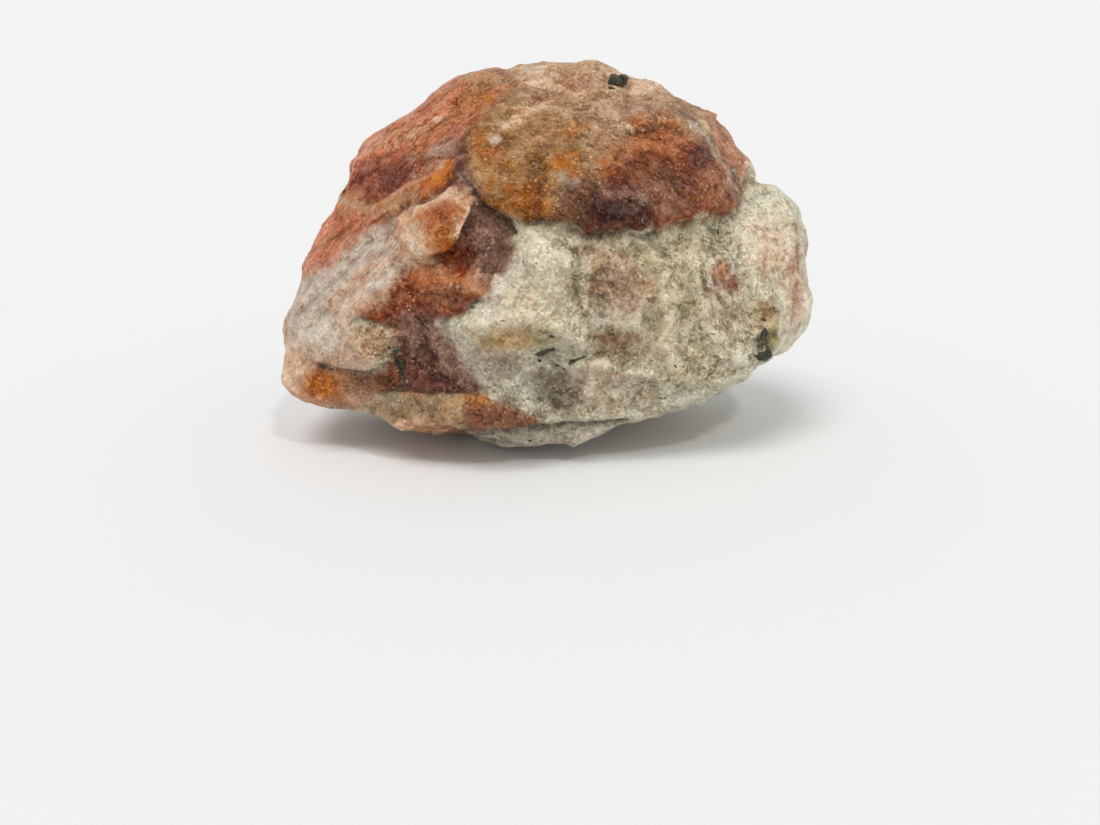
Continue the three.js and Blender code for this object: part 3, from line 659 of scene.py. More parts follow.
# %% The pale rock on the front
front = Coat(front_spots, "pale rock")
front.patch("green rock", 0.6, 2.2, [(14, 26), (21, 28), (22.4, 24), (21, 17), (26, 9),
                                     (16, 6), (13, 10), (14, 18)])
front.patch("grey rock", 0.7, 2.0, [(-16, 15.4), (-10, 14), (-9, 10.4), (-2, 9.8), (4, 8),
                                    (2, 4), (-4, 3), (-9, 5), (-13, 9)])
front.patch("bright rock and painted light", 0.85, 1.4, [
    (-3.6, 27), (0, 27.6), (1.4, 24), (2.6, 20.4), (4, 16), (5.4, 13.4), (3, 12.4), (0, 13.6),
    (-4, 14.2), (-10.4, 14.2), (-12, 15.2), (-9.2, 17.2), (-7.2, 19.8), (-5.4, 22)])
front.patch("grey rock", 0.45, 1.2, [(-5, 24.6), (-3, 25), (-1.6, 23.4), (-3, 21.6), (-5.4, 21.4)])
front.patch("green rock", 0.45, 1.0, [(0.6, 22), (3.8, 22), (4.6, 17), (5.2, 14.2), (2.8, 16.4)])
front.spot("milk", 0.6, 1.2, (-8.2, 16.2), (2.6, 1.3), 30)
front.spot("milk", 0.5, 1.2, (-5.6, 20.6), (1.3, 3.0), -35)
front.spot("peach", 0.25, 1.2, (-2.6, 17), (2.2, 1.8))
front.spot("rose rock", 0.75, 2.0, (9.2, 20.2), (5.4, 3.6), -12)
front.patch("rose rock", 0.5, 1.6, [(4, 27), (9.4, 27), (10.6, 24.6), (9, 22), (4.2, 21.6)])
front.spot("rose brown", 0.30, 1.4, (8.4, 20.8), (3.0, 2.0), -20)
front.spot("rose brown", 0.35, 0.9, (6.9, 17), (0.9, 2.0), 12)
front.spot("green rock", 0.5, 1.4, (12.4, 24.4), (2.4, 1.8))
front.spot("lens grey", 0.6, 1.2, (10.9, 16.8), (2.2, 1.8), 20)
front.spot("brown rock", 0.75, 1.4, (9.6, 11.8), (3.4, 1.9), -6)
front.spot("rose brown", 0.35, 0.8, (8.8, 12.3), (1.6, 0.9), 15)
front.patch("rose brown", 0.7, 1.8, [(-3.4, 8.6), (1, 8.8), (4.4, 7), (5.4, 4), (2, 2.2), (-2, 3)])
front.patch("rose rock", 0.5, 1.6, [(4, 9.4), (8, 9.2), (11.6, 8), (10, 5.6), (5, 3.6)])
front.patch("grey tan", 0.45, 1.4, [(4, 3), (10, 4), (16, 4.6), (16, 3.4), (8, 1.6), (3, 1.4)])
front.spot("ochre", 0.8, 1.6, (-5.9, 12.4), (4.4, 1.7), 6)
front.spot("rose rock", 0.4, 0.8, (-4.2, 12.6), (1.6, 0.9), 15)
front.spot("olive", 0.35, 0.9, (-0.6, 12.4), (1.8, 0.8), -8)
front.spot("olive", 0.6, 0.8, (17.9, 16.8), (1.1, 0.9), 20)
front.patch("grey rock", 0.85, 0.8, [(2, 0.5), (8, 2), (12, 3.2), (16, 4.2), (24, 5.6), (28, 6.8),
                                     (26, 2), (15, -2), (2, -3)])
front.patch("grey tan", 0.4, 1.2, [(6, 1), (12, 2.8), (18, 4), (16, 2.4), (9, 0.6)])
front.spot("milk", 0.4, 1.2, (17.4, 14), (1.0, 2.6), -8)
front.spot("milk", 0.35, 1.0, (11, 6.2), (5.0, 0.9), 4)
front.patch("grey tan", 0.4, 1.6, [(22, 17), (27, 18), (28, 14.6), (24, 13.4)])
front.line("milk", 0.45, 0.3, [(4.9, 23.4), (4.6, 20), (5.2, 16.6)])
front.line("milk", 0.4, 0.3, [(-3.4, 13.6), (0.6, 12.6), (3.8, 10.6)])
front.line("milk", 0.4, 0.3, [(3.4, 8.4), (5, 5.4), (7.4, 2.8)])
# Painted light: a pale band just under the plate's lower edge lightens the slope that the overhang
# shades.
front.line("bright rock and painted light", 0.6, 0.8, [(-3.6, 27.6), (1, 27.8), (3.4, 26.3), (5.1, 25.8),
                                     (9.9, 26.2), (12.6, 25.8), (14.8, 26.8), (19.8, 27.8)])
front.patch("lens grey", 0.4, 1.6, [(-13.6, 12.4), (-8, 10.6), (-3, 9.6), (-4, 6.6), (-9, 6.2),
                                    (-12, 9)])
print("pale rock laid")

# %% [markdown]
# The right end is the same cream rock, broken fresh and brighter, with pink and tan layers
# standing on edge. The top is a tan and peach band that runs over to the back.

# %% The right end on the front
front.patch("bright rock and painted light", 0.85, 1.2, [
    (26, 31), (28.5, 33.6), (31, 33.8), (33.8, 31.4), (36, 27), (37.5, 20), (37, 14),
    (34, 10), (31.4, 9.6), (31.4, 14), (30, 18.4), (27, 18.8), (26.4, 22), (25.4, 27.5)])
front.patch("peach", 0.65, 1.3, [(26.6, 28.4), (31, 28.4), (32.2, 26), (32, 23), (29.6, 22),
                                 (27, 23.4)])
front.patch("tan", 0.5, 0.9, [(28.4, 24.8), (30.8, 24.6), (31.2, 22.4), (30, 20.4), (28.8, 22)])
front.patch("pink", 0.65, 0.7, [(32.5, 29.6), (33.8, 28.6), (34.4, 24), (34.8, 19.5),
                                (34.6, 14.8), (33.6, 14), (32.9, 19), (32.4, 24)])
front.spot("red edge", 0.35, 0.6, (32.4, 22.6), (0.6, 1.8), -20)
front.spot("pink", 0.45, 0.6, (31.8, 21.4), (0.9, 1.6), -25)
front.spot("pink", 0.35, 0.8, (33.3, 16.6), (0.9, 2.4))
front.spot("milk", 0.6, 0.9, (32.2, 14.4), (1.3, 2.6), -10)
front.line("grey rock", 0.6, 0.3, [(26.4, 30.9), (27.8, 32.4), (30.4, 32.7), (32.6, 31),
                                   (33.8, 27.6), (34.6, 22)])
front.patch("ochre", 0.55, 0.9, [(28.2, 18.4), (31.2, 18), (31.4, 15), (31.6, 12), (29.4, 11),
                                 (28.4, 14.6)])
front.spot("brown rock", 0.55, 0.8, (29.7, 16.2), (1.1, 1.6), -20)
front.spot("olive", 0.7, 0.6, (30.6, 12.6), (1.1, 1.6), -10)
front.patch("orange brown", 0.55, 0.9, [(21.9, 23.3), (23.6, 23.4), (25, 22.2), (26.4, 21.4),
                                        (26.4, 19), (25, 18.4), (24, 19), (22.8, 17.7),
                                        (21.7, 19.4)])
front.spot("red orange", 0.4, 0.7, (23.6, 21.9), (1.5, 1.1), -40)
front.spot("orange brown", 0.4, 0.6, (25, 20), (1.2, 0.9), -40)
front.line("milk", 0.6, 0.25, [(22.3, 20.8), (23.6, 19.2), (25.4, 17.4)])
print("right end laid")

# %% The top on the front
front.patch("tan", 1.0, 1.0, [
    (-6.4, 48), (-4, 50), (2, 51), (8, 50), (12, 48.6), (17, 47), (21, 44), (23.5, 41),
    (22, 38), (19, 37), (14, 38), (10, 36), (5.2, 34), (0, 36), (-8, 38), (-12, 42), (-8, 46)])
front.patch("peach", 0.55, 1.4, [(-5, 49), (0, 50), (1, 46.4), (-1, 45.4), (-4, 46.4)])
front.patch("red orange", 0.45, 1.3, [(0.6, 47.6), (3, 48.6), (6, 47), (6.2, 45.3), (2.4, 45.4)])
front.patch("grey tan", 0.6, 1.2, [(-8.6, 44.4), (-5.2, 46), (-3, 45), (-3.6, 43.4),
                                   (-8.4, 42.6)])
front.patch("grey tan", 0.65, 1.2, [(0, 44.6), (10, 45), (15, 44.8), (18.5, 42.6),
                                    (17, 41.6), (11, 42.6), (4, 43)])
front.patch("peach", 0.5, 1.0, [(4.6, 43), (9.6, 43.4), (9.8, 41), (6, 40.4)])
front.spot("lens grey", 0.45, 0.9, (12.2, 43.2), (1.8, 0.9))
front.patch("orange", 0.6, 0.8, [(10.2, 40.2), (12.6, 40.6), (13.2, 41.8), (10.6, 42)])
front.patch("orange", 0.5, 0.8, [(14, 41), (16.8, 41), (16.4, 42.6), (14.2, 42.2)])
front.patch("peach", 0.5, 0.8, [(9.6, 46.6), (13, 46.8), (15, 45.4), (10, 45)])
front.patch("grey tan", 0.9, 0.8, [
    (14, 46), (17, 45.6), (20.5, 43), (22.6, 40.6), (25, 37.4), (25.8, 33.5), (25.2, 31.6),
    (23.6, 35), (21, 38.2), (18.6, 40.2), (16.6, 41.5), (16.4, 43)])
front.patch("green rock", 0.35, 0.9, [(18.6, 42.4), (21, 41.6), (21.4, 39), (19, 40)])
front.patch("pink", 0.9, 0.6, [(20.6, 43), (22.6, 42.2), (25.8, 38), (26.4, 35.4), (25.8, 34.4),
                               (24.6, 35.6), (22.8, 38.4), (21, 41)])
front.patch("bright rock and painted light", 0.75, 0.8, [(26, 37), (28.6, 35), (28, 31.5), (25.6, 31), (25.9, 34)])
front.line("milk", 0.6, 0.4, [(18.8, 41.4), (21, 39), (22.9, 36.9), (24.2, 34.4), (25, 31.8),
                              (25.4, 30.2)])
front.spot("red", 0.5, 0.4, (-1.7, 44.8), (1.9, 0.3), -6)
front.spot("pink", 0.45, 0.5, (6.6, 43.9), (1.2, 0.4), 8)
front.spot("peach", 0.5, 0.4, (0.6, 44.2), (1.6, 0.4), -10)
front.patch("peach", 0.4, 1.4, [(6, 49.4), (12, 48), (17, 45.6), (14, 44.6), (7, 46)])
front.patch("peach", 0.25, 1.6, [(-6, 48), (4, 50), (12, 48.6), (14, 45), (8, 42.6),
                                 (0, 42)])
front.patch("lens white", 0.45, 1.2, [(1, 44.4), (9, 44.6), (10, 40.6), (5, 39.4), (1, 41.6)])
print("top laid")

# %% [markdown]
# The plate is dark red-brown with a paler upper edge, a purple lower part and a thin pale veil.
# The honey lump beside it is clear and golden, darkest where it is thickest, with gold streaks
# that are partly painted highlight, like its paler top.

# %% The red-brown plate
front.patch("plate", 1.0, 0.6, PLATE)
front.patch("plate top", 0.9, 0.8, [(9.6, 38.8), (12.1, 40.5), (14.5, 41), (16.9, 40.4),
                                    (19.4, 38.8), (18, 37.6), (13, 38), (10, 36.4)])
front.patch("plate red", 0.9, 1.4, [(17.2, 38.3), (20.5, 38.2), (22.9, 36.2), (24.3, 33.5),
                                    (25.2, 30.4), (21.5, 30), (18.8, 30.6), (18.6, 33),
                                    (17, 35.5)])
front.spot("red orange", 0.35, 1.2, (21.6, 31.8), (2.4, 1.2), -6)
front.spot("plate purple", 0.35, 1.2, (19.6, 36.8), (1.8, 1.6), -30)
front.patch("plate purple", 0.9, 1.2, [(2.4, 28.8), (5, 27.2), (10, 27.6), (13, 27.2),
                                       (14.6, 28.6), (13, 31), (11, 33.4), (7, 34),
                                       (4.8, 33.2), (4, 31)])
front.spot("plate red", 0.35, 1.0, (7.6, 32.4), (2.2, 0.9))
front.patch("smoky", 0.6, 1.2, [(11, 33.6), (13.6, 31.6), (16, 30.2), (18.8, 31.8), (17.4, 34.6),
                                (13, 36)])
front.patch("smoky", 0.5, 1.0, [(13.6, 29.6), (17, 29.4), (19.4, 30.4), (17, 31.4), (14, 31)])
front.spot("crack and painted shade", 0.35, 0.6, (10.3, 31), (1.0, 0.5))
front.patch("purple grey", 0.15, 1.0, [(3, 34), (8, 34), (13, 32.6), (16, 30.6), (12, 30.2),
                                       (7, 31.8), (3.6, 31.6)])
front.line("lens white", 0.35, 0.35, [(6, 33.4), (10, 32.4), (14, 30.6), (17.6, 30)])
front.line("lens white", 0.3, 0.3, [(12, 34.6), (15, 33), (18, 31.2)])
front.patch("orange brown", 0.5, 0.8, [(14, 28), (18, 28.6), (22, 29.8), (24.8, 30.6),
                                       (21, 30.4), (16, 29.6)])
front.line("tan", 0.6, 0.4, [(14.6, 27.7), (18.6, 28.4), (21, 29.2), (24.8, 30)])
front.spot("pink", 0.5, 0.4, (8.6, 27.9), (0.9, 0.5))
front.patch("smoky", 0.9, 1.3, [(-0.6, 34), (5, 34.6), (6, 33), (4.8, 30.4), (3.4, 28.2),
                                (0.6, 29), (-1, 31)])
front.patch("tan", 0.7, 1.2, [(3.6, 35), (5.6, 39.6), (9.8, 39.6), (10.2, 37), (8, 34.6)])
front.patch("orange", 0.6, 1.0, [(6.4, 35), (9.2, 35), (9.8, 37.5), (8.4, 38.4), (6.4, 37)])
front.patch("orange brown", 0.6, 0.9, [(6.4, 34.8), (9.6, 35), (9, 36.6), (7, 36.6)])
print("plate laid")

# %% The honey lump
front.patch("honey", 1.0, 0.5, [
    (-10, 41.4), (-11.3, 38.5), (-11.5, 36.6), (-10.9, 34.8), (-9.8, 31.9), (-7.3, 30.1),
    (-4.6, 28.6), (-3, 28.6), (-1.7, 29.3), (0, 29.8), (0.4, 31.6), (0.2, 34), (1, 38),
    (0, 41), (-3, 43), (-8.2, 42.6)])
front.patch("honey", 0.7, 1.6, [(-1, 34.4), (4.4, 35), (5, 38), (4.4, 42), (0, 43.6), (-4, 42)])
front.patch("dark honey", 0.85, 1.6, [(-5, 33.4), (0, 34.4), (0.6, 31.5), (-0.5, 29.4),
                                      (-3, 28.8), (-6, 30.6)])
front.patch("gold", 0.5, 1.6, [(-6, 42), (-2, 44), (3, 43), (4, 40), (1, 37.6), (-3, 38.4)])
front.patch("pale honey", 0.6, 1.2, [(-11.4, 38.6), (-9.4, 38), (-9, 34.4), (-9.8, 32.2),
                                     (-11.2, 34.8)])
# Partly painted highlight: paler coats on the lump's top, where the light falls.
front.patch("pale honey", 0.5, 1.2, [(-8, 42.6), (-4, 43.6), (-4, 41), (-8.4, 40)])
front.spot("orange", 0.45, 0.9, (-7.7, 37.8), (1.5, 1.0), -20)
front.patch("bright orange", 0.7, 0.8, [(-0.4, 35.6), (0.6, 37), (3, 37.4), (4.2, 36.8),
                                        (4.2, 34.9), (2, 34.6)])
front.patch("bright orange", 0.6, 0.8, [(1, 40), (3, 39.4), (4.4, 40.4), (4.6, 41.8),
                                        (3, 42.1), (1.8, 41)])
# Partly painted highlight: the gold streak along the top-left edge is partly the lump's own
# colour.
front.patch("gold", 1.0, 0.5, [(-6, 40.8), (-4.7, 40.6), (-1.2, 43), (-0.6, 44.2), (-2, 44.4),
                               (-4.6, 42.6)])
front.spot("gold", 0.6, 0.5, (-7.2, 39.3), (0.7, 0.6), 10)
front.patch("gold", 0.55, 1.0, [(-7.6, 37), (-5, 38.6), (-2, 41), (-1, 39.4), (-4, 36.4)])
front.patch("pale honey", 0.55, 1.2, [(-9.6, 36.4), (-6.6, 36.6), (-5.4, 34), (-8, 32)])
front.spot("bright orange", 0.45, 0.8, (-9.2, 40), (1.4, 1.0), 30)
front.spot("gold", 0.45, 0.9, (-3.4, 34.6), (1.8, 1.0), 20)
front.spot("pale honey", 0.5, 0.8, (0.6, 33), (1.2, 1.6), 0)
front.patch("bright orange", 0.3, 1.6, [(-9, 33.4), (-3, 34.4), (0.4, 32), (-2, 29.2),
                                        (-7, 30.4)])
front.patch("bright orange", 0.25, 1.6, [(-10, 38.6), (-6, 38), (-5, 35), (-9, 34.6)])
# Partly painted highlight: a pale coat on the top and a peach line along the top-left edge.
front.patch("pale honey", 0.4, 1.2, [(-8.4, 42), (-4, 43.6), (0, 43), (-1, 40.6), (-6, 39.6)])
front.line("peach", 0.8, 0.35, [(-6.2, 40.6), (-3.6, 42.2), (-1, 44)])
front.spot("milk", 0.7, 0.4, (-7.4, 39.4), (0.5, 0.4), 10)
front.spot("red orange", 0.4, 1.2, (22.4, 33.8), (2.4, 2.8), -20)
print("honey lump laid")

# %% [markdown]
# The red face is brick red, lighter and pinker along its outer edge, and purple low down where
# it meets the ridge. Pale lines run up it to the right along the layers.

# %% The red face
front.patch("red purple", 1.0, 0.7, [(-25, 32), (-18, 35.6), (-12, 39.4), (-10.4, 40.6),
                                     (-10.6, 35), (-9.4, 31.4), (-4.2, 27.6), (-6, 21),
                                     (-12, 22), (-20, 23), (-21, 27), (-25, 28)])
front.patch("tan", 1.0, 0.9, [(-11.6, 39.6), (-9.4, 42), (-8, 43.6), (-4, 46), (-6, 48.6),
                              (-10, 49.6), (-12, 46)])
front.patch("red", 1.0, 0.5, RED_FACE)
front.patch("red edge", 1.0, 0.9, [(-9, 50), (-14.5, 48), (-20, 44.5), (-27, 40.5), (-29, 36.5),
                                   (-27.4, 34.6), (-25, 37.6), (-21, 40.4), (-17, 42.8),
                                   (-13.4, 45.4), (-11, 47.6)])
front.patch("red orange", 0.8, 1.2, [(-23.5, 37.6), (-18, 40), (-15, 42), (-13.3, 44.4),
                                     (-9.5, 46.6), (-7.5, 45.8), (-8.2, 43.6), (-11, 41.4),
                                     (-14, 39.8), (-18, 38)])
front.patch("red purple", 0.85, 1.2, [(-27.4, 33.4), (-24.5, 32.2), (-20.5, 34.2), (-16, 35.8),
                                      (-12.6, 37.6), (-12.2, 39.4), (-17, 38.4), (-21, 36.6),
                                      (-25, 36)])
front.patch("purple", 0.45, 0.8, [(-22.6, 32.8), (-20.2, 34.6), (-17, 35.6), (-18, 36.6),
                                  (-21.4, 35.6)])
front.line("tan", 0.6, 0.35, [(-23.8, 37.4), (-19.4, 40.4), (-15.6, 43), (-12.6, 45.8)])
front.line("peach", 0.45, 0.3, [(-21, 38), (-16.4, 40.6), (-13.4, 43)])
front.line("tan", 0.5, 0.35, [(-18.6, 37.2), (-15, 38.6), (-12.4, 40.4)])
front.patch("tan", 0.8, 1.1, [(-12.4, 46.4), (-10, 48.4), (-6, 48.4), (-4, 46.2), (-7, 45.4),
                              (-10.4, 45.6)])
front.patch("bright orange", 0.45, 0.7, [(-9.6, 45), (-7.6, 45.4), (-7.4, 43.6), (-9.6, 43)])
front.patch("purple grey", 0.7, 0.8, [(-16.4, 37.2), (-12.6, 39.4), (-11, 39.6), (-11.6, 36.5),
                                      (-13, 37)])
front.line("lens grey", 0.3, 0.5, [(-15.6, 38.2), (-13.4, 38.8), (-11.4, 40.2)])
print("red face laid")

# %% The lower red face and the purple hollow
front.patch("red", 1.0, 0.7, LOWER_RED)
front.patch("red edge", 0.6, 0.9, [(-34.4, 20.4), (-33, 26), (-30, 30), (-28.4, 28), (-31, 23)])
front.patch("red orange", 0.55, 1.1, [(-33, 25), (-28, 28.6), (-25, 29.4), (-26, 27), (-30, 23.4)])
front.patch("tan", 0.6, 0.8, [(-28.6, 33.4), (-26.6, 32.4), (-24, 31.2), (-24.6, 29.8),
                              (-28.4, 29.8)])
front.spot("pink", 0.6, 0.5, (-25.8, 31), (1.3, 0.6), 25)
front.patch("purple grey", 0.95, 0.9, [
    (-13.6, 36.6), (-11.6, 36.2), (-10.7, 34.2), (-9.4, 31.5), (-7.5, 29.8), (-5, 28.2),
    (-4.2, 25.6), (-6, 21.5), (-7.8, 19.6), (-10, 21), (-11, 23.4), (-10.3, 26), (-9.6, 29),
    (-10, 31.6), (-12, 33), (-14, 33.6)])
front.patch("orange brown", 0.65, 0.9, [(-17.6, 32.2), (-14.4, 33.4), (-12.8, 34.6), (-12, 33.2),
                                        (-15, 32.2)])
front.patch("purple", 0.45, 1.0, [(-12.4, 35.8), (-11, 35), (-10.2, 32), (-12.4, 33.2)])
front.patch("purple", 0.4, 1.2, [(-9.4, 26), (-6.4, 27), (-5.4, 24.6), (-7, 22.2), (-9.6, 23)])
front.patch("orange brown", 0.7, 1.1, [(-15.4, 24.4), (-12, 25.6), (-9.8, 25), (-9.6, 22.6),
                                       (-14, 22.6)])
print("lower red face laid")

# %% [markdown]
# At the left end a rust-coloured hollow and a mauve one lie behind the pale lens. The lens is
# milky and fibrous. Below it come the cream tip with its orange spot, and the shelf.

# %% The hollows at the left end
front.patch("orange brown", 1.0, 0.8, [
    (-27.2, 15.4), (-27, 17.6), (-24, 19.6), (-21, 20.4), (-20.6, 22.8), (-17, 23.6),
    (-13, 24.2), (-9.8, 21.6), (-8, 19.5), (-9.4, 17.3), (-13.5, 16.2), (-15, 14.8),
    (-14.6, 12), (-12.2, 8.4), (-9.2, 5), (-14, 4.4), (-24, 4.2), (-29.8, 4.6), (-29.8, 7.5),
    (-25.6, 7.5), (-22, 9), (-21.4, 12), (-22, 14.2)])
front.patch("orange", 0.65, 1.2, [(-20.6, 22.4), (-15, 23.4), (-11.5, 22), (-9, 19.6), (-12, 19),
                                  (-15, 20), (-19.6, 19.8)])
front.spot("peach", 0.35, 0.9, (-17.6, 22.4), (3.2, 0.8))
front.patch("red purple", 0.5, 1.2, [(-20, 19), (-13.4, 18.4), (-11, 17.6), (-13, 16.4),
                                     (-18, 15.6), (-20.6, 16.4)])
front.patch("tan", 0.75, 1.3, [(-27.4, 17.6), (-23.4, 19.6), (-21, 19.6), (-21.4, 17.4),
                               (-24, 16.6)])
front.patch("peach", 0.4, 0.7, [(-11.4, 21.6), (-8.4, 20.6), (-8, 18.8), (-10, 19.4)])
front.patch("purple", 1.0, 1.3, [(-20.4, 15.4), (-17, 15.8), (-14.9, 15.2), (-14.2, 13),
                                 (-12.2, 9.6), (-9.4, 5.4), (-12, 5), (-16, 6), (-18.2, 8),
                                 (-19.6, 11)])
front.patch("purple grey", 0.6, 1.2, [(-18, 14.8), (-15, 15), (-13.4, 12), (-12, 9.6),
                                      (-14.6, 9.4), (-17, 11.4)])
front.patch("purple grey", 0.65, 1.4, [(-22, 15.8), (-17, 16), (-14, 13), (-10, 6), (-12, 4.6),
                                       (-20, 4.8), (-21.6, 8), (-21.6, 12)])
front.patch("red purple", 0.5, 1.2, [(-20.4, 10.4), (-17.4, 10.8), (-15.6, 8), (-12, 6),
                                     (-16, 5.1), (-21, 6.4)])
front.patch("smoky", 0.7, 1.2, [(-30, 7.6), (-25, 7.6), (-21.4, 8.6), (-20.6, 5), (-24, 4.2),
                                (-30, 4.6)])
front.patch("purple", 0.5, 1.2, [(-21, 14), (-18, 15), (-16.4, 12), (-15, 8), (-13, 5.4),
                                 (-18, 5.2), (-20.6, 9)])
front.line("milk", 0.4, 0.9, [(-15.6, 15), (-13, 11.4), (-9.6, 5.6)])
front.patch("red orange", 0.45, 1.4, [(-20.6, 22.4), (-15, 23.4), (-10, 21.6), (-9, 18.6),
                                      (-13, 17.4), (-20, 18.6)])
front.spot("lens white", 0.35, 1.2, (-12.4, 19.6), (3.6, 1.6), 14)
front.patch("purple grey", 0.4, 1.0, [(-14, 9.4), (-11.6, 8.8), (-9.6, 6.2), (-13, 6.4)])
front.patch("tan", 0.5, 1.0, [(-30, 7.4), (-25.6, 7.2), (-24, 5.8), (-26, 4.6), (-30, 4.8)])
print("hollows laid")

# %% The pale lens
front.patch("lens white", 1.0, 0.9, LENS)
front.patch("lens grey", 0.95, 1.1, [(-36, 20.8), (-31, 21.6), (-27, 25), (-23, 28.3),
                                     (-21.4, 27.6), (-23.4, 24.4), (-28, 20.4), (-32, 16.6),
                                     (-36.5, 14)])
front.patch("milk", 0.4, 1.6, LENS)
front.patch("grey rock", 0.35, 0.9, [(-25.6, 25.6), (-22.6, 27.6), (-21.6, 25.6), (-24.4, 23.8)])
front.patch("peach", 0.6, 0.8, [(-32, 17), (-27, 21.2), (-22.5, 23.8), (-21.4, 23), (-25, 20.8),
                                (-29, 16.8)])
front.line("pink", 0.55, 0.35, [(-31, 17.8), (-27, 21), (-23.4, 23.2)])
front.patch("milk", 0.7, 1.2, [(-35.6, 15), (-31.4, 16.2), (-28.6, 14), (-29.6, 10.8),
                               (-34.4, 11.8)])
front.patch("milk", 0.6, 0.9, [(-25.6, 20.4), (-21.6, 23), (-20.8, 21), (-23, 19.6)])
front.line("milk", 0.5, 0.3, [(-34, 15.6), (-29.6, 19.6), (-25.4, 22.8)])
front.line("milk", 0.5, 0.3, [(-33.4, 18.6), (-29.6, 21.6), (-26, 25)])
front.patch("peach", 0.45, 1.0, [(-29.4, 17.2), (-25, 19.2), (-25.6, 16.6), (-28.6, 14.4)])
front.patch("tan", 0.6, 1.6, [(-27.6, 14.2), (-23, 14), (-20.8, 12.5), (-21.4, 10), (-24, 9.4),
                              (-27, 10.6)])
front.spot("rose rock", 0.6, 1.2, (-24.6, 12), (2.6, 1.8), 10)
front.patch("shelf rose", 0.4, 1.0, [(-26, 15.6), (-21, 15.4), (-20.6, 13.6), (-23, 14)])
front.patch("tan", 0.55, 1.2, [(-30.6, 10.4), (-26, 9.8), (-25.6, 8.4), (-30, 8.4)])
print("pale lens laid")

# %% The left tip and the shelf
front.patch("lens white", 1.0, 0.8, TIP)
front.patch("peach", 0.7, 1.3, [(-38.4, 12), (-34.4, 10.6), (-33.6, 8.6), (-35.4, 5), (-39, 6)])
front.patch("lens white", 0.6, 1.2, [(-37, 4.4), (-30, 3.4), (-25.6, 3), (-30, 1.6), (-36, 3)])
front.spot("bright orange", 1.0, 1.1, (-32.2, 5.9), (2.7, 2.2), -4)
front.patch("brown rock", 0.55, 0.8, [(-29.4, 7.2), (-25.6, 6.8), (-24, 5.4), (-26, 4.6),
                                      (-29, 5)])
front.patch("shelf tan", 1.0, 0.6, SHELF)
front.patch("grey rock", 0.5, 0.8, [(-24, 4), (-21.6, 5), (-20.8, 3.6), (-22.4, 2)])
front.patch("bright orange", 0.65, 0.9, [(-13.2, 4.4), (-10, 4.9), (-8.8, 4), (-9.8, 2.4),
                                         (-12.4, 2.8)])
front.patch("shelf rose", 0.9, 1.2, [(-11, 3.4), (-6.6, 3.6), (-3, 1.5), (-0.6, 0.4),
                                     (-5, -1.4), (-12.4, -1.4), (-12.4, 1)])
front.patch("milk", 0.25, 1.0, [(-8.6, 5), (-5, 3.4), (-3, 1.8), (-4.6, 2.2), (-8, 4)])
front.patch("tan", 0.5, 0.9, [(-16, 3.6), (-13, 3.6), (-12, 1), (-15, 0.6)])
front.patch("red lip", 0.95, 0.6, [(-23, 0.4), (-19, 0.9), (-15, 0.7), (-13, -0.6),
                                   (-13.5, -2), (-16, -3.4), (-20, -3), (-24, -1.6)])
front.patch("orange", 0.4, 0.6, [(-21, 0.3), (-16, 0.5), (-14, -0.8), (-18, -1.4)])
front.patch("belly", 1.0, 0.6, [(-13.4, -1.1), (-8, -1.3), (-2.4, -0.8), (3, -0.1), (9.6, 0.3),
                                (12, -6), (-14, -7)])
print("left tip and shelf laid")

# %% The nodule and the ridge
front.patch("lens grey", 0.7, 0.8, [(-23.4, 27.6), (-21, 29.8), (-20.4, 28), (-21, 25.6)])
front.patch("orange", 1.0, 0.5, NODULE)
front.patch("peach", 0.85, 1.2, [(-20.8, 28.2), (-18, 29), (-16.4, 25.6), (-16, 23.6), (-18, 23),
                                 (-20, 24.4)])
front.patch("milk", 0.45, 0.9, [(-19.6, 26), (-17.4, 26), (-16.4, 24.4), (-18.4, 23.6)])
front.patch("bright orange", 0.8, 1.1, [(-15.6, 27.5), (-12.6, 28.8), (-11.2, 27.2), (-13, 25.2),
                                         (-16, 25.3)])
front.patch("pale honey", 0.15, 1.2, NODULE)
front.line("peach", 0.7, 0.8, [(-19.8, 29), (-17.7, 30.7), (-15.6, 31.8), (-13.4, 32.1),
                                (-11.5, 31.9), (-10.6, 31), (-10.8, 29.4), (-12, 26.6)])
front.patch("orange", 1.0, 0.45, RIDGE)
front.patch("tan", 0.8, 1.0, [(-25.6, 30.8), (-21.6, 32), (-17.6, 33.6), (-18, 31.6),
                              (-24, 28.6)])
front.patch("pink", 0.4, 0.8, [(-25.6, 30.4), (-22, 31.4), (-22, 29.8), (-25, 28.6)])
front.patch("bright orange", 0.6, 0.6, [(-16.4, 34.4), (-13.6, 36.2), (-12.4, 36.4),
                                        (-14.4, 33.6)])
front.line("peach", 0.5, 0.3, [(-21.4, 32.4), (-19.4, 33.7), (-15.6, 35.2), (-13.8, 36.6)])
print("nodule and ridge laid")

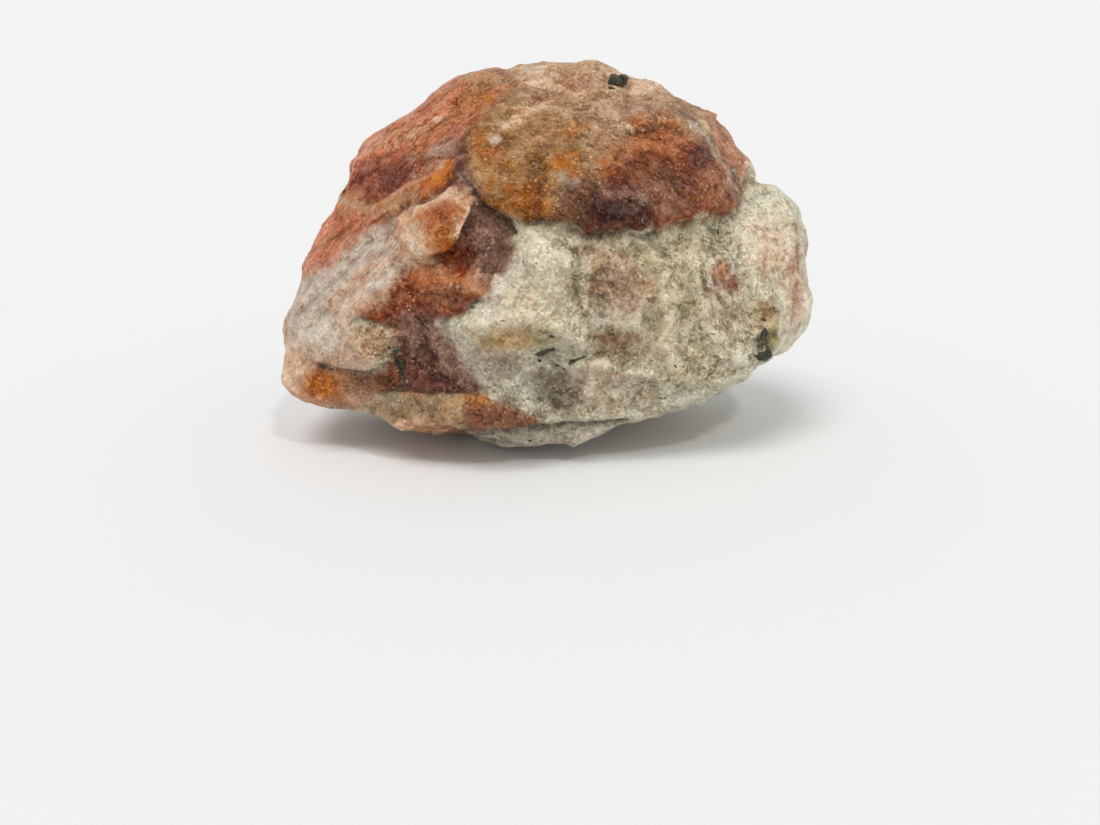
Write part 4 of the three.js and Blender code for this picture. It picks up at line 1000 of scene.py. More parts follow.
# %% Green stains round the dark grains
GREEN_STAINS = [  # strength, softness, middle, half width and half height, slope
    (0.8, 0.4, (-10.2, 17.4), (1.0, 0.5), 20), (0.6, 0.5, (-21.2, 10), (0.8, 1.8), 20),
    (0.6, 0.5, (-20.5, 7.6), (0.5, 1.4), 10), (0.5, 0.4, (-0.6, 10.6), (1.3, 0.4), 14),
    (0.5, 0.3, (4.2, 9.6), (1.2, 0.3), 25), (0.4, 0.4, (0.2, 12.9), (0.5, 0.3), 0),
    (0.5, 0.4, (29.9, 10.9), (1.3, 1.2), -20), (0.5, 0.4, (29.7, 13.1), (1.2, 0.7), 15),
    (0.7, 0.3, (-31.6, 8.3), (1.2, 0.25), -12),
]
for strength, soft, middle, size, slope in GREEN_STAINS:
    front.spot("dark green", strength, soft, middle, size, slope)
print(len(GREEN_STAINS), "green stains laid")

# %% [markdown]
# Nobody sees the back in the photograph. It gets the same kinds of rock in the same proportions,
# laid on the back's own forms, and the bands that reach the edge in front run on round it.

# %% The back
back = Coat(back_spots, "pale rock", melt=2.2)
back.patch("green rock", 0.6, 2.0, [(12, 30), (24, 30), (28, 16), (22, 5), (8, 4), (8, 16)])
back.patch("grey rock", 0.6, 1.5, [(-34, 6), (-10, 8), (14, 7), (26, 10), (24, 0), (-30, 0)])
back.patch("tan", 1.0, 1.0, [(-12, 52), (24, 50), (28, 38), (18, 35), (8, 40), (-10, 42)])
back.patch("grey tan", 0.7, 1.0, [(2, 50), (22, 46), (24, 40), (16, 40), (6, 44)])
back.patch("red", 0.9, 0.8, [(-34, 34), (-24, 44), (-10, 50), (-8, 44), (-20, 38), (-26, 30),
                             (-34, 24)])
back.patch("lens white", 0.9, 1.0, [(-38, 24), (-30, 26), (-24, 19), (-28, 13), (-38, 10)])
back.patch("peach", 0.8, 1.0, [(-38, 12), (-31, 12), (-28, 6), (-30, 0), (-38, 2)])
back.patch("red", 1.0, 0.35, BACK_FACE)
back.patch("red orange", 0.7, 1.0, [(-18, 36), (-8, 41), (4, 42), (8, 38), (-4, 36), (-14, 31)])
back.patch("red purple", 0.8, 0.9, [(-18, 29), (-12, 26.5), (-4, 30), (4, 29), (12, 33),
                                    (8, 34.5), (-6, 33)])
back.patch("purple", 0.5, 0.7, [(-12, 26.5), (-4, 29.4), (4, 28.6), (0, 31), (-8, 30)])
back.patch("red edge", 0.8, 0.7, [(-22, 38), (-12, 44), (2, 45), (0, 43), (-10, 41)])
back.patch("purple grey", 0.9, 0.6, [(4, 27), (12, 30), (10, 26), (6, 24), (-2, 26), (-8, 25),
                                     (-12, 23), (-13, 25), (-5, 28)])
back.patch("bright rock and painted light", 0.9, 0.5, BACK_RIB)
back.patch("peach", 0.7, 1.0, [(18, 28), (24, 26), (26, 20), (21, 18), (18, 23)])
back.patch("orange", 0.6, 0.6, [(22, 25), (26, 23), (26, 19), (23, 20)])
back.patch("pale honey", 0.9, 0.5, BACK_BULGE)
back.patch("honey", 0.9, 0.9, [(-12, 19), (-4, 23), (2, 21), (0, 14), (-8, 11)])
back.patch("bright orange", 0.7, 0.7, [(-8, 18), (-4, 20), (-1, 17), (-4, 14.5), (-8, 15.5)])
back.patch("lens white", 0.7, 1.0, [(2, 21), (9, 19), (11, 12), (4, 10), (1, 15)])
back.patch("orange brown", 0.8, 0.8, [(-22, 20), (-15, 21), (-13, 15), (-20, 14)])
back.patch("purple", 1.0, 0.8, BACK_HOLLOW)
back.patch("plate", 0.7, 0.8, [(-27, 13), (-20, 15), (-16, 10), (-22, 7), (-27, 9)])
back.patch("orange", 1.0, 0.35, BACK_SPLINTER)
back.patch("peach", 0.7, 0.8, [(-29, 28), (-25, 28), (-22, 24), (-26, 22), (-30, 24)])
back.spot("olive", 0.6, 0.7, (15, 16), (1.6, 1.0), 20)
back.spot("rose rock", 0.6, 1.2, (20, 11), (4.5, 2.4), 10)
back.spot("brown rock", 0.6, 1.0, (9, 26.5), (3.0, 1.2), 12)
back.spot("rose brown", 0.6, 1.0, (-2, 5.5), (6.0, 1.6), 0)
back.spot("orange brown", 0.5, 0.8, (29, 24), (1.4, 2.2), 0)
back.patch("milk", 0.35, 1.2, [(-14, 24), (-4, 26), (6, 24), (14, 26), (16, 22), (6, 20),
                               (-6, 21), (-14, 20)])
back.patch("rose rock", 0.6, 1.4, [(10, 24), (17, 28), (24, 27), (20, 20), (12, 16), (6, 14)])
back.patch("peach", 0.4, 1.4, [(-16, 14), (-8, 12), (0, 10), (8, 12), (10, 6), (-6, 4),
                               (-18, 8)])
back.patch("tan", 0.5, 1.4, [(-26, 30), (-20, 30), (-14, 26), (-18, 20), (-26, 20)])
back.patch("brown rock", 0.4, 1.2, [(20, 36), (28, 36), (30, 28), (24, 30)])
back.patch("bright rock and painted light", 0.5, 1.2, [(12, 12), (24, 14), (28, 8), (16, 5)])
back.line("peach", 0.5, 0.5, [(-18, 31), (-10, 35), (0, 38), (10, 37)])
print("back laid")

# %% One skin from front and back
SEAM = 3.0, 7.5  # where the front fades into the back, in millimetres of depth
SEAM_WANDER = 2.2
CRACK_DIRT_AND_SHADE = 0.7
FULL_CRACK = 0.8
behind = smooth(shaped[:, 1] + SEAM_WANDER * broad, *SEAM)[:, None, None]
tones = front.tones * (1 - behind) + back.tones * behind
# Painted shade and real colour: along the cracks and the shadow lines under the ledges the tone is
# darkened, partly the fractures' own dark colour and partly painted shade.
crack_dirt_and_shade = np.clip(cracks / FULL_CRACK, 0, 1) ** 1.5 * CRACK_DIRT_AND_SHADE
tones = tones * (1 - crack_dirt_and_shade[:, None, None]) + linear(TONES["crack and painted shade"])[None] * crack_dirt_and_shade[:, None, None]


def write_colours(mesh, name, values):
    """Keeps a colour for each point of the mesh under a name."""
    layer = mesh.color_attributes.new(name, "FLOAT_COLOR", "POINT")
    four = np.ones((len(values), 4))
    four[:, :values.shape[1]] = values
    layer.data.foreach_set("color", four.ravel())


write_colours(skin, "dark_tone", tones[:, 0])
write_colours(skin, "main_tone", tones[:, 1])
write_colours(skin, "light_tone", tones[:, 2])
# The fourth channel is the hollow shading: painted shade in the hollows and painted highlight on
# the crests.
habit_and_shading = np.stack([np.maximum(layered, fibrous), platy, glassy, np.clip(hollow_shading, -1, 1)], axis=1)
write_colours(skin, "habit_and_shading", habit_and_shading)
print("tones kept for", len(tones), "points")

# %% [markdown]
# The material does what is too fine for the skin. Noise of three sizes picks between the three
# tones, and the hollows and crests are pushed darker and lighter as painted shade and highlight.
# Small cells that each lean their own way act as cleavage faces: each takes the light
# differently, and that makes the fine sparkle of broken feldspar. A few tiny cells also get a
# painted glint of warm white in the colour. A helper or two keeps the sums of the nodes readable.

# %% Helpers for node sums
def new_tree(material):
    """The material's own node tree, emptied."""
    material.use_nodes = True
    material.node_tree.nodes.clear()
    return material.node_tree


def put(tree, slot, value):
    """Links a socket to a slot, or writes a plain number there."""
    if isinstance(value, bpy.types.NodeSocket):
        tree.links.new(value, slot)
    else:
        slot.default_value = value


def sum_node(tree, kind, *values, clamp=False):
    """A Math node of a kind, fed with sockets or plain numbers."""
    node = tree.nodes.new("ShaderNodeMath")
    node.operation = kind
    node.use_clamp = clamp
    for slot, value in zip(node.inputs, values):
        put(tree, slot, value)
    return node.outputs[0]


def noise_node(tree, vector, scale, detail=2.0, roughness=0.5):
    """Soft noise with so many swells per metre."""
    node = tree.nodes.new("ShaderNodeTexNoise")
    put(tree, node.inputs["Vector"], vector)
    node.inputs["Scale"].default_value = scale
    node.inputs["Detail"].default_value = detail
    node.inputs["Roughness"].default_value = roughness
    return node.outputs["Fac"]


def mix_colours(tree, share, first, second):
    """A colour between two others, by a share."""
    node = tree.nodes.new("ShaderNodeMix")
    node.data_type = "RGBA"
    node.clamp_factor = True
    put(tree, node.inputs[0], share)
    put(tree, node.inputs[6], first)
    put(tree, node.inputs[7], second)
    return node.outputs[2]


def attribute(tree, name):
    """A node that reads a value kept on the skin."""
    node = tree.nodes.new("ShaderNodeAttribute")
    node.attribute_name = name
    return node


# %% A group for small cleavage faces
def make_facet_group():
    """Cells that each lean their own way, with their height and a number of their own."""
    group = bpy.data.node_groups.new("cleavage_faces", "ShaderNodeTree")
    group.interface.new_socket("Vector", in_out="INPUT", socket_type="NodeSocketVector")
    group.interface.new_socket("Scale", in_out="INPUT", socket_type="NodeSocketFloat")
    group.interface.new_socket("Height", in_out="OUTPUT", socket_type="NodeSocketFloat")
    group.interface.new_socket("Number", in_out="OUTPUT", socket_type="NodeSocketFloat")
    way_in = group.nodes.new("NodeGroupInput")
    way_out = group.nodes.new("NodeGroupOutput")
    cells = group.nodes.new("ShaderNodeTexVoronoi")
    cells.voronoi_dimensions = "3D"
    group.links.new(way_in.outputs["Vector"], cells.inputs["Vector"])
    group.links.new(way_in.outputs["Scale"], cells.inputs["Scale"])
    offset = group.nodes.new("ShaderNodeVectorMath")
    offset.operation = "SUBTRACT"
    group.links.new(way_in.outputs["Vector"], offset.inputs[0])
    group.links.new(cells.outputs["Position"], offset.inputs[1])
    local = group.nodes.new("ShaderNodeVectorMath")
    local.operation = "SCALE"
    group.links.new(offset.outputs[0], local.inputs[0])
    group.links.new(way_in.outputs["Scale"], local.inputs["Scale"])
    lean = group.nodes.new("ShaderNodeVectorMath")
    lean.operation = "SUBTRACT"
    lean.inputs[1].default_value = (0.5, 0.5, 0.5)
    group.links.new(cells.outputs["Color"], lean.inputs[0])
    height = group.nodes.new("ShaderNodeVectorMath")
    height.operation = "DOT_PRODUCT"
    group.links.new(local.outputs[0], height.inputs[0])
    group.links.new(lean.outputs[0], height.inputs[1])
    split = group.nodes.new("ShaderNodeSeparateColor")
    group.links.new(cells.outputs["Color"], split.inputs[0])
    group.links.new(height.outputs["Value"], way_out.inputs["Height"])
    group.links.new(split.outputs[0], way_out.inputs["Number"])
    return group


facet_group = make_facet_group()


def facets(tree, vector, scale):
    """The group with so many cleavage faces per metre: its height and its number."""
    node = tree.nodes.new("ShaderNodeGroup")
    node.node_tree = facet_group
    put(tree, node.inputs["Vector"], vector)
    node.inputs["Scale"].default_value = scale
    return node.outputs["Height"], node.outputs["Number"]


def strand_noise(tree, vector, degrees, length, width):
    """Noise drawn out along a slope, with strands of a length and width in metres."""
    turn = tree.nodes.new("ShaderNodeVectorRotate")
    turn.rotation_type = "Y_AXIS"
    turn.inputs["Angle"].default_value = math.radians(degrees)
    put(tree, turn.inputs["Vector"], vector)
    stretch = tree.nodes.new("ShaderNodeVectorMath")
    stretch.operation = "MULTIPLY"
    stretch.inputs[1].default_value = (1 / length, 1 / width, 1 / width)
    tree.links.new(turn.outputs[0], stretch.inputs[0])
    return noise_node(tree, stretch.outputs[0], 1.0, 3.0, 0.6)


print("cleavage faces group ready")


# %% The stone's material
def make_stone_material():
    """Feldspar that goes from tone to tone with noise, with painted hollow shade, cleavage faces
    and sparkles, some of them painted glints.
    """
    material = bpy.data.materials.new("rough_feldspar")
    tree = new_tree(material)
    place = tree.nodes.new("ShaderNodeTexCoord").outputs["Object"]
    habit_and_shading_node = attribute(tree, "habit_and_shading")
    split = tree.nodes.new("ShaderNodeSeparateColor")
    tree.links.new(habit_and_shading_node.outputs["Color"], split.inputs[0])
    drawn, lined, glass = split.outputs[0], split.outputs[1], split.outputs[2]
    painted_hollow_shading = habit_and_shading_node.outputs["Alpha"]

    clouds = noise_node(tree, place, 330.0, 4.0, 0.6)
    mottle = noise_node(tree, place, 900.0, 5.0, 0.72)
    grit = noise_node(tree, place, 3600.0, 3.0, 0.7)
    up_right = strand_noise(tree, place, 43.0, 0.0040, 0.00022)
    down_right = strand_noise(tree, place, -30.0, 0.0030, 0.00022)
    wide_height, wide_number = facets(tree, place, 620.0)
    big_height, big_number = facets(tree, place, 1300.0)
    small_height, small_number = facets(tree, place, 3300.0)
    painted_glint_number = facets(tree, place, 5600.0)[1]
    vein_noise = noise_node(tree, place, 480.0, 4.0, 0.6)

    def swing(value, amount):
        """A noise between 0 and 1 as a push either way."""
        return sum_node(tree, "MULTIPLY", sum_node(tree, "SUBTRACT", value, 0.5), amount)

    def near_middle(value, width):
        """One where a noise is about a half, which draws thin winding lines."""
        away = sum_node(tree, "ABSOLUTE", sum_node(tree, "SUBTRACT", value, 0.5))
        return sum_node(tree, "MULTIPLY_ADD", away, -1 / width, 1.0, clamp=True)

    # The tone: half-way is the main colour, less is darker and more is lighter.
    silk = sum_node(tree, "ADD", sum_node(tree, "MULTIPLY", drawn, 1.7), 0.18)
    lines = sum_node(tree, "ADD", sum_node(tree, "MULTIPLY", lined, 1.3), 0.1)
    spread = swing(clouds, 0.95)
    for push in (
        swing(mottle, 0.22),
        swing(grit, 0.52),
        swing(wide_number, 0.26),
        swing(big_number, 0.24),
        swing(small_number, 0.36),
        sum_node(tree, "MULTIPLY", near_middle(vein_noise, 0.02), 0.34),
        sum_node(tree, "MULTIPLY", swing(up_right, 1.0), silk),
        sum_node(tree, "MULTIPLY", swing(down_right, 1.4), lined),
        sum_node(tree, "MULTIPLY", near_middle(up_right, 0.05), sum_node(
            tree, "MULTIPLY", silk, 0.34)),
        sum_node(tree, "MULTIPLY", near_middle(down_right, 0.05), sum_node(
            tree, "MULTIPLY", lines, 0.45)),
        # Painted shade and highlight: hollows are pushed darker and crests lighter.
        sum_node(tree, "MULTIPLY", painted_hollow_shading, -0.24),
    ):
        spread = sum_node(tree, "ADD", spread, push)
    calm = sum_node(tree, "MULTIPLY_ADD", glass, -0.1, 1.0)
    tone = sum_node(tree, "MULTIPLY_ADD", spread, calm, 0.46)
    tone = sum_node(tree, "MAXIMUM", tone, 0.12)
    lower = sum_node(tree, "MULTIPLY", tone, 2.0, clamp=True)
    upper = sum_node(tree, "MULTIPLY_ADD", tone, 2.0, -1.0, clamp=True)
    colour = mix_colours(tree, lower, attribute(tree, "dark_tone").outputs["Color"],
                         attribute(tree, "main_tone").outputs["Color"])
    colour = mix_colours(tree, upper, colour, attribute(tree, "light_tone").outputs["Color"])

    # A few cleavage faces are glossy, a few tiny ones carry a painted glint of warm white in the
    # colour, and dark specks lie between.
    glint = sum_node(tree, "GREATER_THAN", small_number, 0.74)
    glint = sum_node(tree, "MAXIMUM", glint, sum_node(tree, "GREATER_THAN", big_number, 0.84))
    patchy = sum_node(tree, "MULTIPLY_ADD", clouds, 5.0, -2.2, clamp=True)
    spark = sum_node(tree, "GREATER_THAN", painted_glint_number, 0.978)
    spark = sum_node(tree, "MULTIPLY", spark, patchy)
    colour = mix_colours(tree, sum_node(tree, "MULTIPLY", spark, 0.6), colour,
                         (0.95, 0.72, 0.5, 1))
    speck_noise = noise_node(tree, place, 1900.0, 1.0, 0.5)
    speck = sum_node(tree, "MULTIPLY", sum_node(tree, "SUBTRACT", speck_noise, 0.735), 14.0,
                     clamp=True)
    colour = mix_colours(tree, sum_node(tree, "MULTIPLY", speck, 0.7), colour,
                         (0.05, 0.04, 0.02, 1))

    rough = sum_node(tree, "ADD", swing(grit, 0.3), 0.42)
    rough = sum_node(tree, "SUBTRACT", rough, sum_node(tree, "MULTIPLY", glass, 0.14))
    coat = sum_node(tree, "MULTIPLY", glint, 0.8, clamp=True)

    # The small relief that is finer than the skin's faces.
    height = sum_node(tree, "MULTIPLY", wide_height, 2.2)
    for more in (
        sum_node(tree, "MULTIPLY", big_height, 1.3),
        sum_node(tree, "MULTIPLY", small_height, 0.8),
        swing(grit, 0.05),
        swing(mottle, 0.12),
        sum_node(tree, "MULTIPLY", swing(up_right, 0.3), silk),
        sum_node(tree, "MULTIPLY", swing(down_right, 0.6), lined),
    ):
        height = sum_node(tree, "ADD", height, more)
    bump = tree.nodes.new("ShaderNodeBump")
    bump.inputs["Strength"].default_value = 0.9
    bump.inputs["Distance"].default_value = 0.0007
    tree.links.new(height, bump.inputs["Height"])

    shader = tree.nodes.new("ShaderNodeBsdfPrincipled")
    tree.links.new(colour, shader.inputs["Base Color"])
    tree.links.new(rough, shader.inputs["Roughness"])
    tree.links.new(coat, shader.inputs["Coat Weight"])
    tree.links.new(bump.outputs["Normal"], shader.inputs["Normal"])
    tree.links.new(bump.outputs["Normal"], shader.inputs["Coat Normal"])
    shader.inputs["Coat Roughness"].default_value = 0.14
    shader.inputs["Specular IOR Level"].default_value = 0.2
    shader.inputs["Subsurface Weight"].default_value = 0.3
    shader.inputs["Subsurface Scale"].default_value = 0.0016
    shader.inputs["Subsurface Radius"].default_value = (1.0, 0.5, 0.3)
    output = tree.nodes.new("ShaderNodeOutputMaterial")
    tree.links.new(shader.outputs[0], output.inputs["Surface"])
    return material


stone = bpy.data.objects.new("stone_skin", skin)
bpy.context.scene.collection.objects.link(stone)
skin.materials.append(make_stone_material())
skin.polygons.foreach_set("use_smooth", np.ones(len(skin.polygons), bool))
skin.update()
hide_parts("sunstone")
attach(stone, "root")
print("stone:", len(skin.polygons), "faces")

# %% [markdown]
# The dark grains are crystals of another mineral that the feldspar grew round. A crystal is a
# handful of corners with the flat faces between them, which is what a convex hull gives. Each
# grain is set where a line of sight meets the stone, sunk to about its middle, and all of them
# are joined in one closed mesh.

# %% Find the surface along a line of sight
bpy.context.view_layer.update()


def surface_at(eye, spot):
    """Where the line of sight to a spot meets the stone, and the way the stone faces there."""
    target = np.array([spot[0] + eye[0], eye[1] + math.copysign(PLANE_AWAY, -eye[1]), spot[1]])
    start = Vector(eye * MM)
    way = (Vector(target * MM) - start).normalized()
    hit, where, normal, _ = stone.ray_cast(start, way)
    return (where, normal) if hit else (None, None)


# %% A faceted grain
rng = np.random.default_rng(41)


def add_grain(work, where, normal, size, turn=0.0, corners=16, sink=0.25):
    """Adds a closed crystal: size is its length, width and thickness in millimetres."""
    out = Vector(normal)
    side = Vector((math.cos(math.radians(turn)), 0, math.sin(math.radians(turn))))
    side = (side - out * side.dot(out)).normalized()
    third = out.cross(side)
    middle = where - out * size[2] * sink * MM
    rays = rng.normal(size=(corners, 3))
    rays /= np.linalg.norm(rays, axis=1)[:, None]
    rays = np.sign(rays) * np.abs(rays) ** 0.8
    half = np.array(size) / 2 * MM
    made = []
    for ray in rays * half * rng.uniform(0.85, 1.1, (corners, 1)):
        made.append(work.verts.new(middle + side * ray[0] + third * ray[1] + out * ray[2]))
    hull = bmesh.ops.convex_hull(work, input=made)
    unused = {v for v in hull["geom_interior"] + hull["geom_unused"]
              if isinstance(v, bmesh.types.BMVert)}
    bmesh.ops.delete(work, geom=list(unused), context="VERTS")


GRAINS = [  # seen at, length, width, thickness, slope
    ((8.5, 46.3), 2.2, 2.3, 1.9, 70), ((9.2, 46.9), 1.3, 1.5, 1.6, 60),
    ((8.0, 45.7), 1.2, 1.2, 1.3, 20),
    ((29.8, 10.6), 2.7, 2.1, 2.0, -10), ((29.4, 11.3), 1.4, 1.3, 1.6, 30),
    ((30.4, 10.2), 1.1, 0.9, 1.3, 60), ((28.7, 10.1), 0.8, 0.5, 0.8, 0),
    ((29.5, 13.1), 1.9, 1.4, 1.4, 30), ((30.2, 13.4), 0.9, 0.7, 0.9, 50),
    ((29.0, 12.4), 0.7, 0.6, 0.8, 10), ((29.6, 15.3), 0.9, 0.7, 0.6, 0),
    ((30.7, 17.0), 0.6, 0.5, 0.5, 0), ((28.3, 15.1), 0.4, 0.3, 0.4, 0),
    ((-21.6, 10.5), 2.0, 1.4, 1.3, -20), ((-20.9, 9.2), 1.8, 1.2, 1.3, -60),
    ((-20.3, 8.6), 1.0, 0.8, 1.0, -70), ((-20.9, 7.7), 1.6, 0.6, 0.8, -75),
    ((-20.4, 6.8), 1.2, 0.4, 0.7, -80), ((-22.3, 11.2), 0.9, 0.5, 0.6, -40),
    ((-9.9, 17.4), 2.0, 1.1, 1.0, 25), ((-10.6, 17.0), 0.7, 0.5, 0.6, 10),
    ((-0.7, 10.6), 2.2, 0.8, 0.6, 12), ((0.3, 11.0), 1.1, 0.7, 0.5, 20),
    ((-1.6, 10.4), 0.9, 0.5, 0.4, 0), ((0.1, 12.9), 1.1, 0.7, 0.5, 5),
    ((3.1, 9.2), 1.1, 0.8, 0.6, 40), ((3.9, 9.7), 1.5, 0.6, 0.5, 25),
    ((4.9, 10.0), 1.0, 0.5, 0.4, 5), ((6.7, 9.9), 0.9, 0.7, 0.5, 10),
    ((1.4, 8.6), 1.5, 0.45, 0.4, -20), ((2.0, 8.2), 0.8, 0.3, 0.4, -50),
    ((-1.4, 9.4), 0.6, 0.45, 0.4, 0), ((17.6, 8.6), 0.8, 0.25, 0.3, -50),
    ((18.8, 8.6), 0.5, 0.25, 0.3, 50), ((22.5, 13.3), 0.9, 0.25, 0.3, -25),
    ((15.9, 3.9), 0.9, 0.4, 0.4, 0), ((26.1, 5.7), 0.5, 0.35, 0.4, 0),
    ((22.7, 27.3), 0.6, 0.9, 0.5, 0), ((23.1, 27.5), 0.4, 0.4, 0.4, 0),
    ((-31.7, 8.4), 1.9, 0.5, 0.5, -12), ((-30.9, 8.2), 0.8, 0.3, 0.4, -5),
    ((-27.4, 32.6), 0.8, 0.45, 0.5, 0), ((-6.6, 15.1), 0.8, 0.2, 0.3, -5),
    ((-28.7, 5.6), 0.5, 0.35, 0.4, -20), ((-19.6, 2.8), 0.35, 0.35, 0.3, 0),
    ((-21, 1.2), 0.5, 0.3, 0.3, 20), ((6.4, 46.2), 0.4, 0.35, 0.3, 0),
    ((-3.2, 46.7), 0.35, 0.35, 0.3, 0), ((-1.3, 38.4), 0.4, 0.4, 0.3, 0),
    ((-15.8, 28), 0.5, 0.35, 0.3, 20), ((-14.2, 29.1), 0.35, 0.3, 0.3, 0),
    ((-1.9, 23), 0.5, 0.3, 0.3, -30), ((-3.6, 23.2), 0.35, 0.3, 0.3, 0),
    ((26.5, 21.6), 0.35, 0.3, 0.3, 0), ((12.6, 22.9), 0.5, 0.3, 0.3, 10),
    ((24.6, 15), 0.4, 0.2, 0.3, 20), ((-24, 12.8), 1.4, 0.15, 0.25, 35),
    ((-22.8, 24.4), 0.6, 0.25, 0.3, 40), ((2.8, 5.3), 0.9, 0.3, 0.3, 25),
    ((-2.9, -2.4), 0.5, 0.7, 0.3, 60), ((21.6, 25.9), 0.6, 0.15, 0.25, -35),
]
BACK_GRAINS = [
    ((-6, 31.5), 2.2, 1.7, 1.7, 30), ((-4.9, 32.2), 1.4, 1.1, 1.4, 60),
    ((16.5, 24), 1.8, 1.3, 1.4, -20), ((17.8, 23.4), 1.0, 0.8, 0.9, 20),
    ((-24, 10), 1.9, 1.2, 1.2, 50), ((-22.8, 9.2), 1.2, 0.7, 0.9, 70),
    ((8, 14), 1.0, 0.5, 0.5, 10), ((21, 9.5), 1.4, 0.5, 0.5, -20),
    ((3, 38.5), 0.7, 0.5, 0.5, 0), ((-14, 17), 0.8, 0.5, 0.5, 30),
    ((26, 17), 1.2, 0.4, 0.4, 60), ((12, 36), 0.6, 0.4, 0.4, 0),
    ((-30, 18), 0.9, 0.4, 0.4, 40), ((0, 4.5), 1.3, 0.5, 0.5, 0),
]
grains = bmesh.new()
set_grains = 0
for eye, listed in ((EYE, GRAINS), (BEHIND, BACK_GRAINS)):
    for spot, length, width, thickness, slope in listed:
        where, normal = surface_at(eye, spot)
        if where is not None:
            add_grain(grains, where, normal, (length, width, thickness), slope)
            set_grains += 1
print(set_grains, "grains set by hand")

# %% Dust of small grains
DUST = 190
for _ in range(DUST):
    eye = EYE if rng.random() < 0.6 else BEHIND
    spot = (rng.uniform(-33, 34), rng.uniform(1, 47))
    length = rng.uniform(0.16, 0.42)
    where, normal = surface_at(eye, spot)
    if where is not None:
        add_grain(grains, where, normal, (length, length * 0.6, 0.22), rng.uniform(0, 180), 9, 0.3)
bmesh.ops.triangulate(grains, faces=grains.faces)
bmesh.ops.recalc_face_normals(grains, faces=grains.faces)
grain_mesh = bpy.data.meshes.new("dark_grains")
grains.to_mesh(grain_mesh)
grains.free()
print("dark grains:", len(grain_mesh.polygons), "faces")

# %% [markdown]
# The grains are black to bottle green and shine a little, like coal. So the material goes from
# black to dark green with noise, with a few paler specks and fairly low roughness.


# %% The grains' material
def make_grain_material():
    """Black to bottle green mineral with paler specks."""
    material = bpy.data.materials.new("dark_mineral")
    tree = new_tree(material)
    place = tree.nodes.new("ShaderNodeTexCoord").outputs["Object"]
    clouds = noise_node(tree, place, 900.0, 2.0, 0.6)
    grit = noise_node(tree, place, 5200.0, 2.0, 0.6)
    share = sum_node(tree, "MULTIPLY_ADD", clouds, 3.2, -1.15, clamp=True)
    colour = mix_colours(tree, share, (0.010, 0.010, 0.004, 1), (0.050, 0.048, 0.026, 1))
    spots = sum_node(tree, "MULTIPLY_ADD", grit, 5.0, -2.9, clamp=True)
    colour = mix_colours(tree, spots, colour, (0.22, 0.20, 0.14, 1))
    shader = tree.nodes.new("ShaderNodeBsdfPrincipled")
    tree.links.new(colour, shader.inputs["Base Color"])
    tree.links.new(sum_node(tree, "MULTIPLY_ADD", grit, 0.3, 0.22), shader.inputs["Roughness"])
    shader.inputs["IOR"].default_value = 1.5
    shader.inputs["Specular IOR Level"].default_value = 0.3
    bump = tree.nodes.new("ShaderNodeBump")
    bump.inputs["Strength"].default_value = 0.5
    bump.inputs["Distance"].default_value = 0.0002
    tree.links.new(grit, bump.inputs["Height"])
    tree.links.new(bump.outputs["Normal"], shader.inputs["Normal"])
    output = tree.nodes.new("ShaderNodeOutputMaterial")
    tree.links.new(shader.outputs[0], output.inputs["Surface"])
    return material


grain_mesh.materials.append(make_grain_material())
grain_piece = bpy.data.objects.new("dark_grains", grain_mesh)
bpy.context.scene.collection.objects.link(grain_piece)
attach(grain_piece, "root")
print("dark grains ride on the stone")

# %% [markdown]
# Sunstone is named for its glitter: thin plates of copper or iron ore inside the feldspar that
# flash when the light meets them. They are scattered over the coloured zones with Geometry
# Nodes, because it is one small shape repeated over a surface by a rule. The number of plates
# follows a value kept on the skin, high on the red, orange and honey rock and low on the cream.

# %% Where the glitter lies
warmth = tones[:, 1, 0] - tones[:, 1, 2] * 1.05
glitter_share = np.clip(smooth(warmth, 0.06, 0.2), 0.06, 1)
glitter_share *= smooth(swells(points, 3.2, 2, 21.0), -0.35, 0.5) * 0.9 + 0.1
glitter_share[shaped[:, 2] < 0.5] = 0
layer = skin.attributes.new("glitter", "FLOAT", "POINT")
layer.data.foreach_set("value", glitter_share)
print("mean glitter share:", round(float(glitter_share.mean()), 2))


# %% The glitter tree
PLATE_SIDES = 6
PLATE_FACES = PLATE_SIDES + 2
PLATE_THICKNESS = 0.00003


def make_glitter_material():
    """Copper that goes from dark red to gold."""
    material = bpy.data.materials.new("copper_glitter")
    tree = new_tree(material)
    place = tree.nodes.new("ShaderNodeTexCoord").outputs["Object"]
    clouds = noise_node(tree, place, 700.0, 2.0, 0.5)
    share = sum_node(tree, "MULTIPLY_ADD", clouds, 3.0, -1.0, clamp=True)
    colour = mix_colours(tree, share, (0.42, 0.17, 0.06, 1), (0.88, 0.60, 0.30, 1))
    shader = tree.nodes.new("ShaderNodeBsdfPrincipled")
    tree.links.new(colour, shader.inputs["Base Color"])
    tree.links.new(sum_node(tree, "MULTIPLY_ADD", clouds, 0.3, 0.12), shader.inputs["Roughness"])
    shader.inputs["Metallic"].default_value = 0.85
    output = tree.nodes.new("ShaderNodeOutputMaterial")
    tree.links.new(shader.outputs[0], output.inputs["Surface"])
    return material


glitter_material = make_glitter_material()


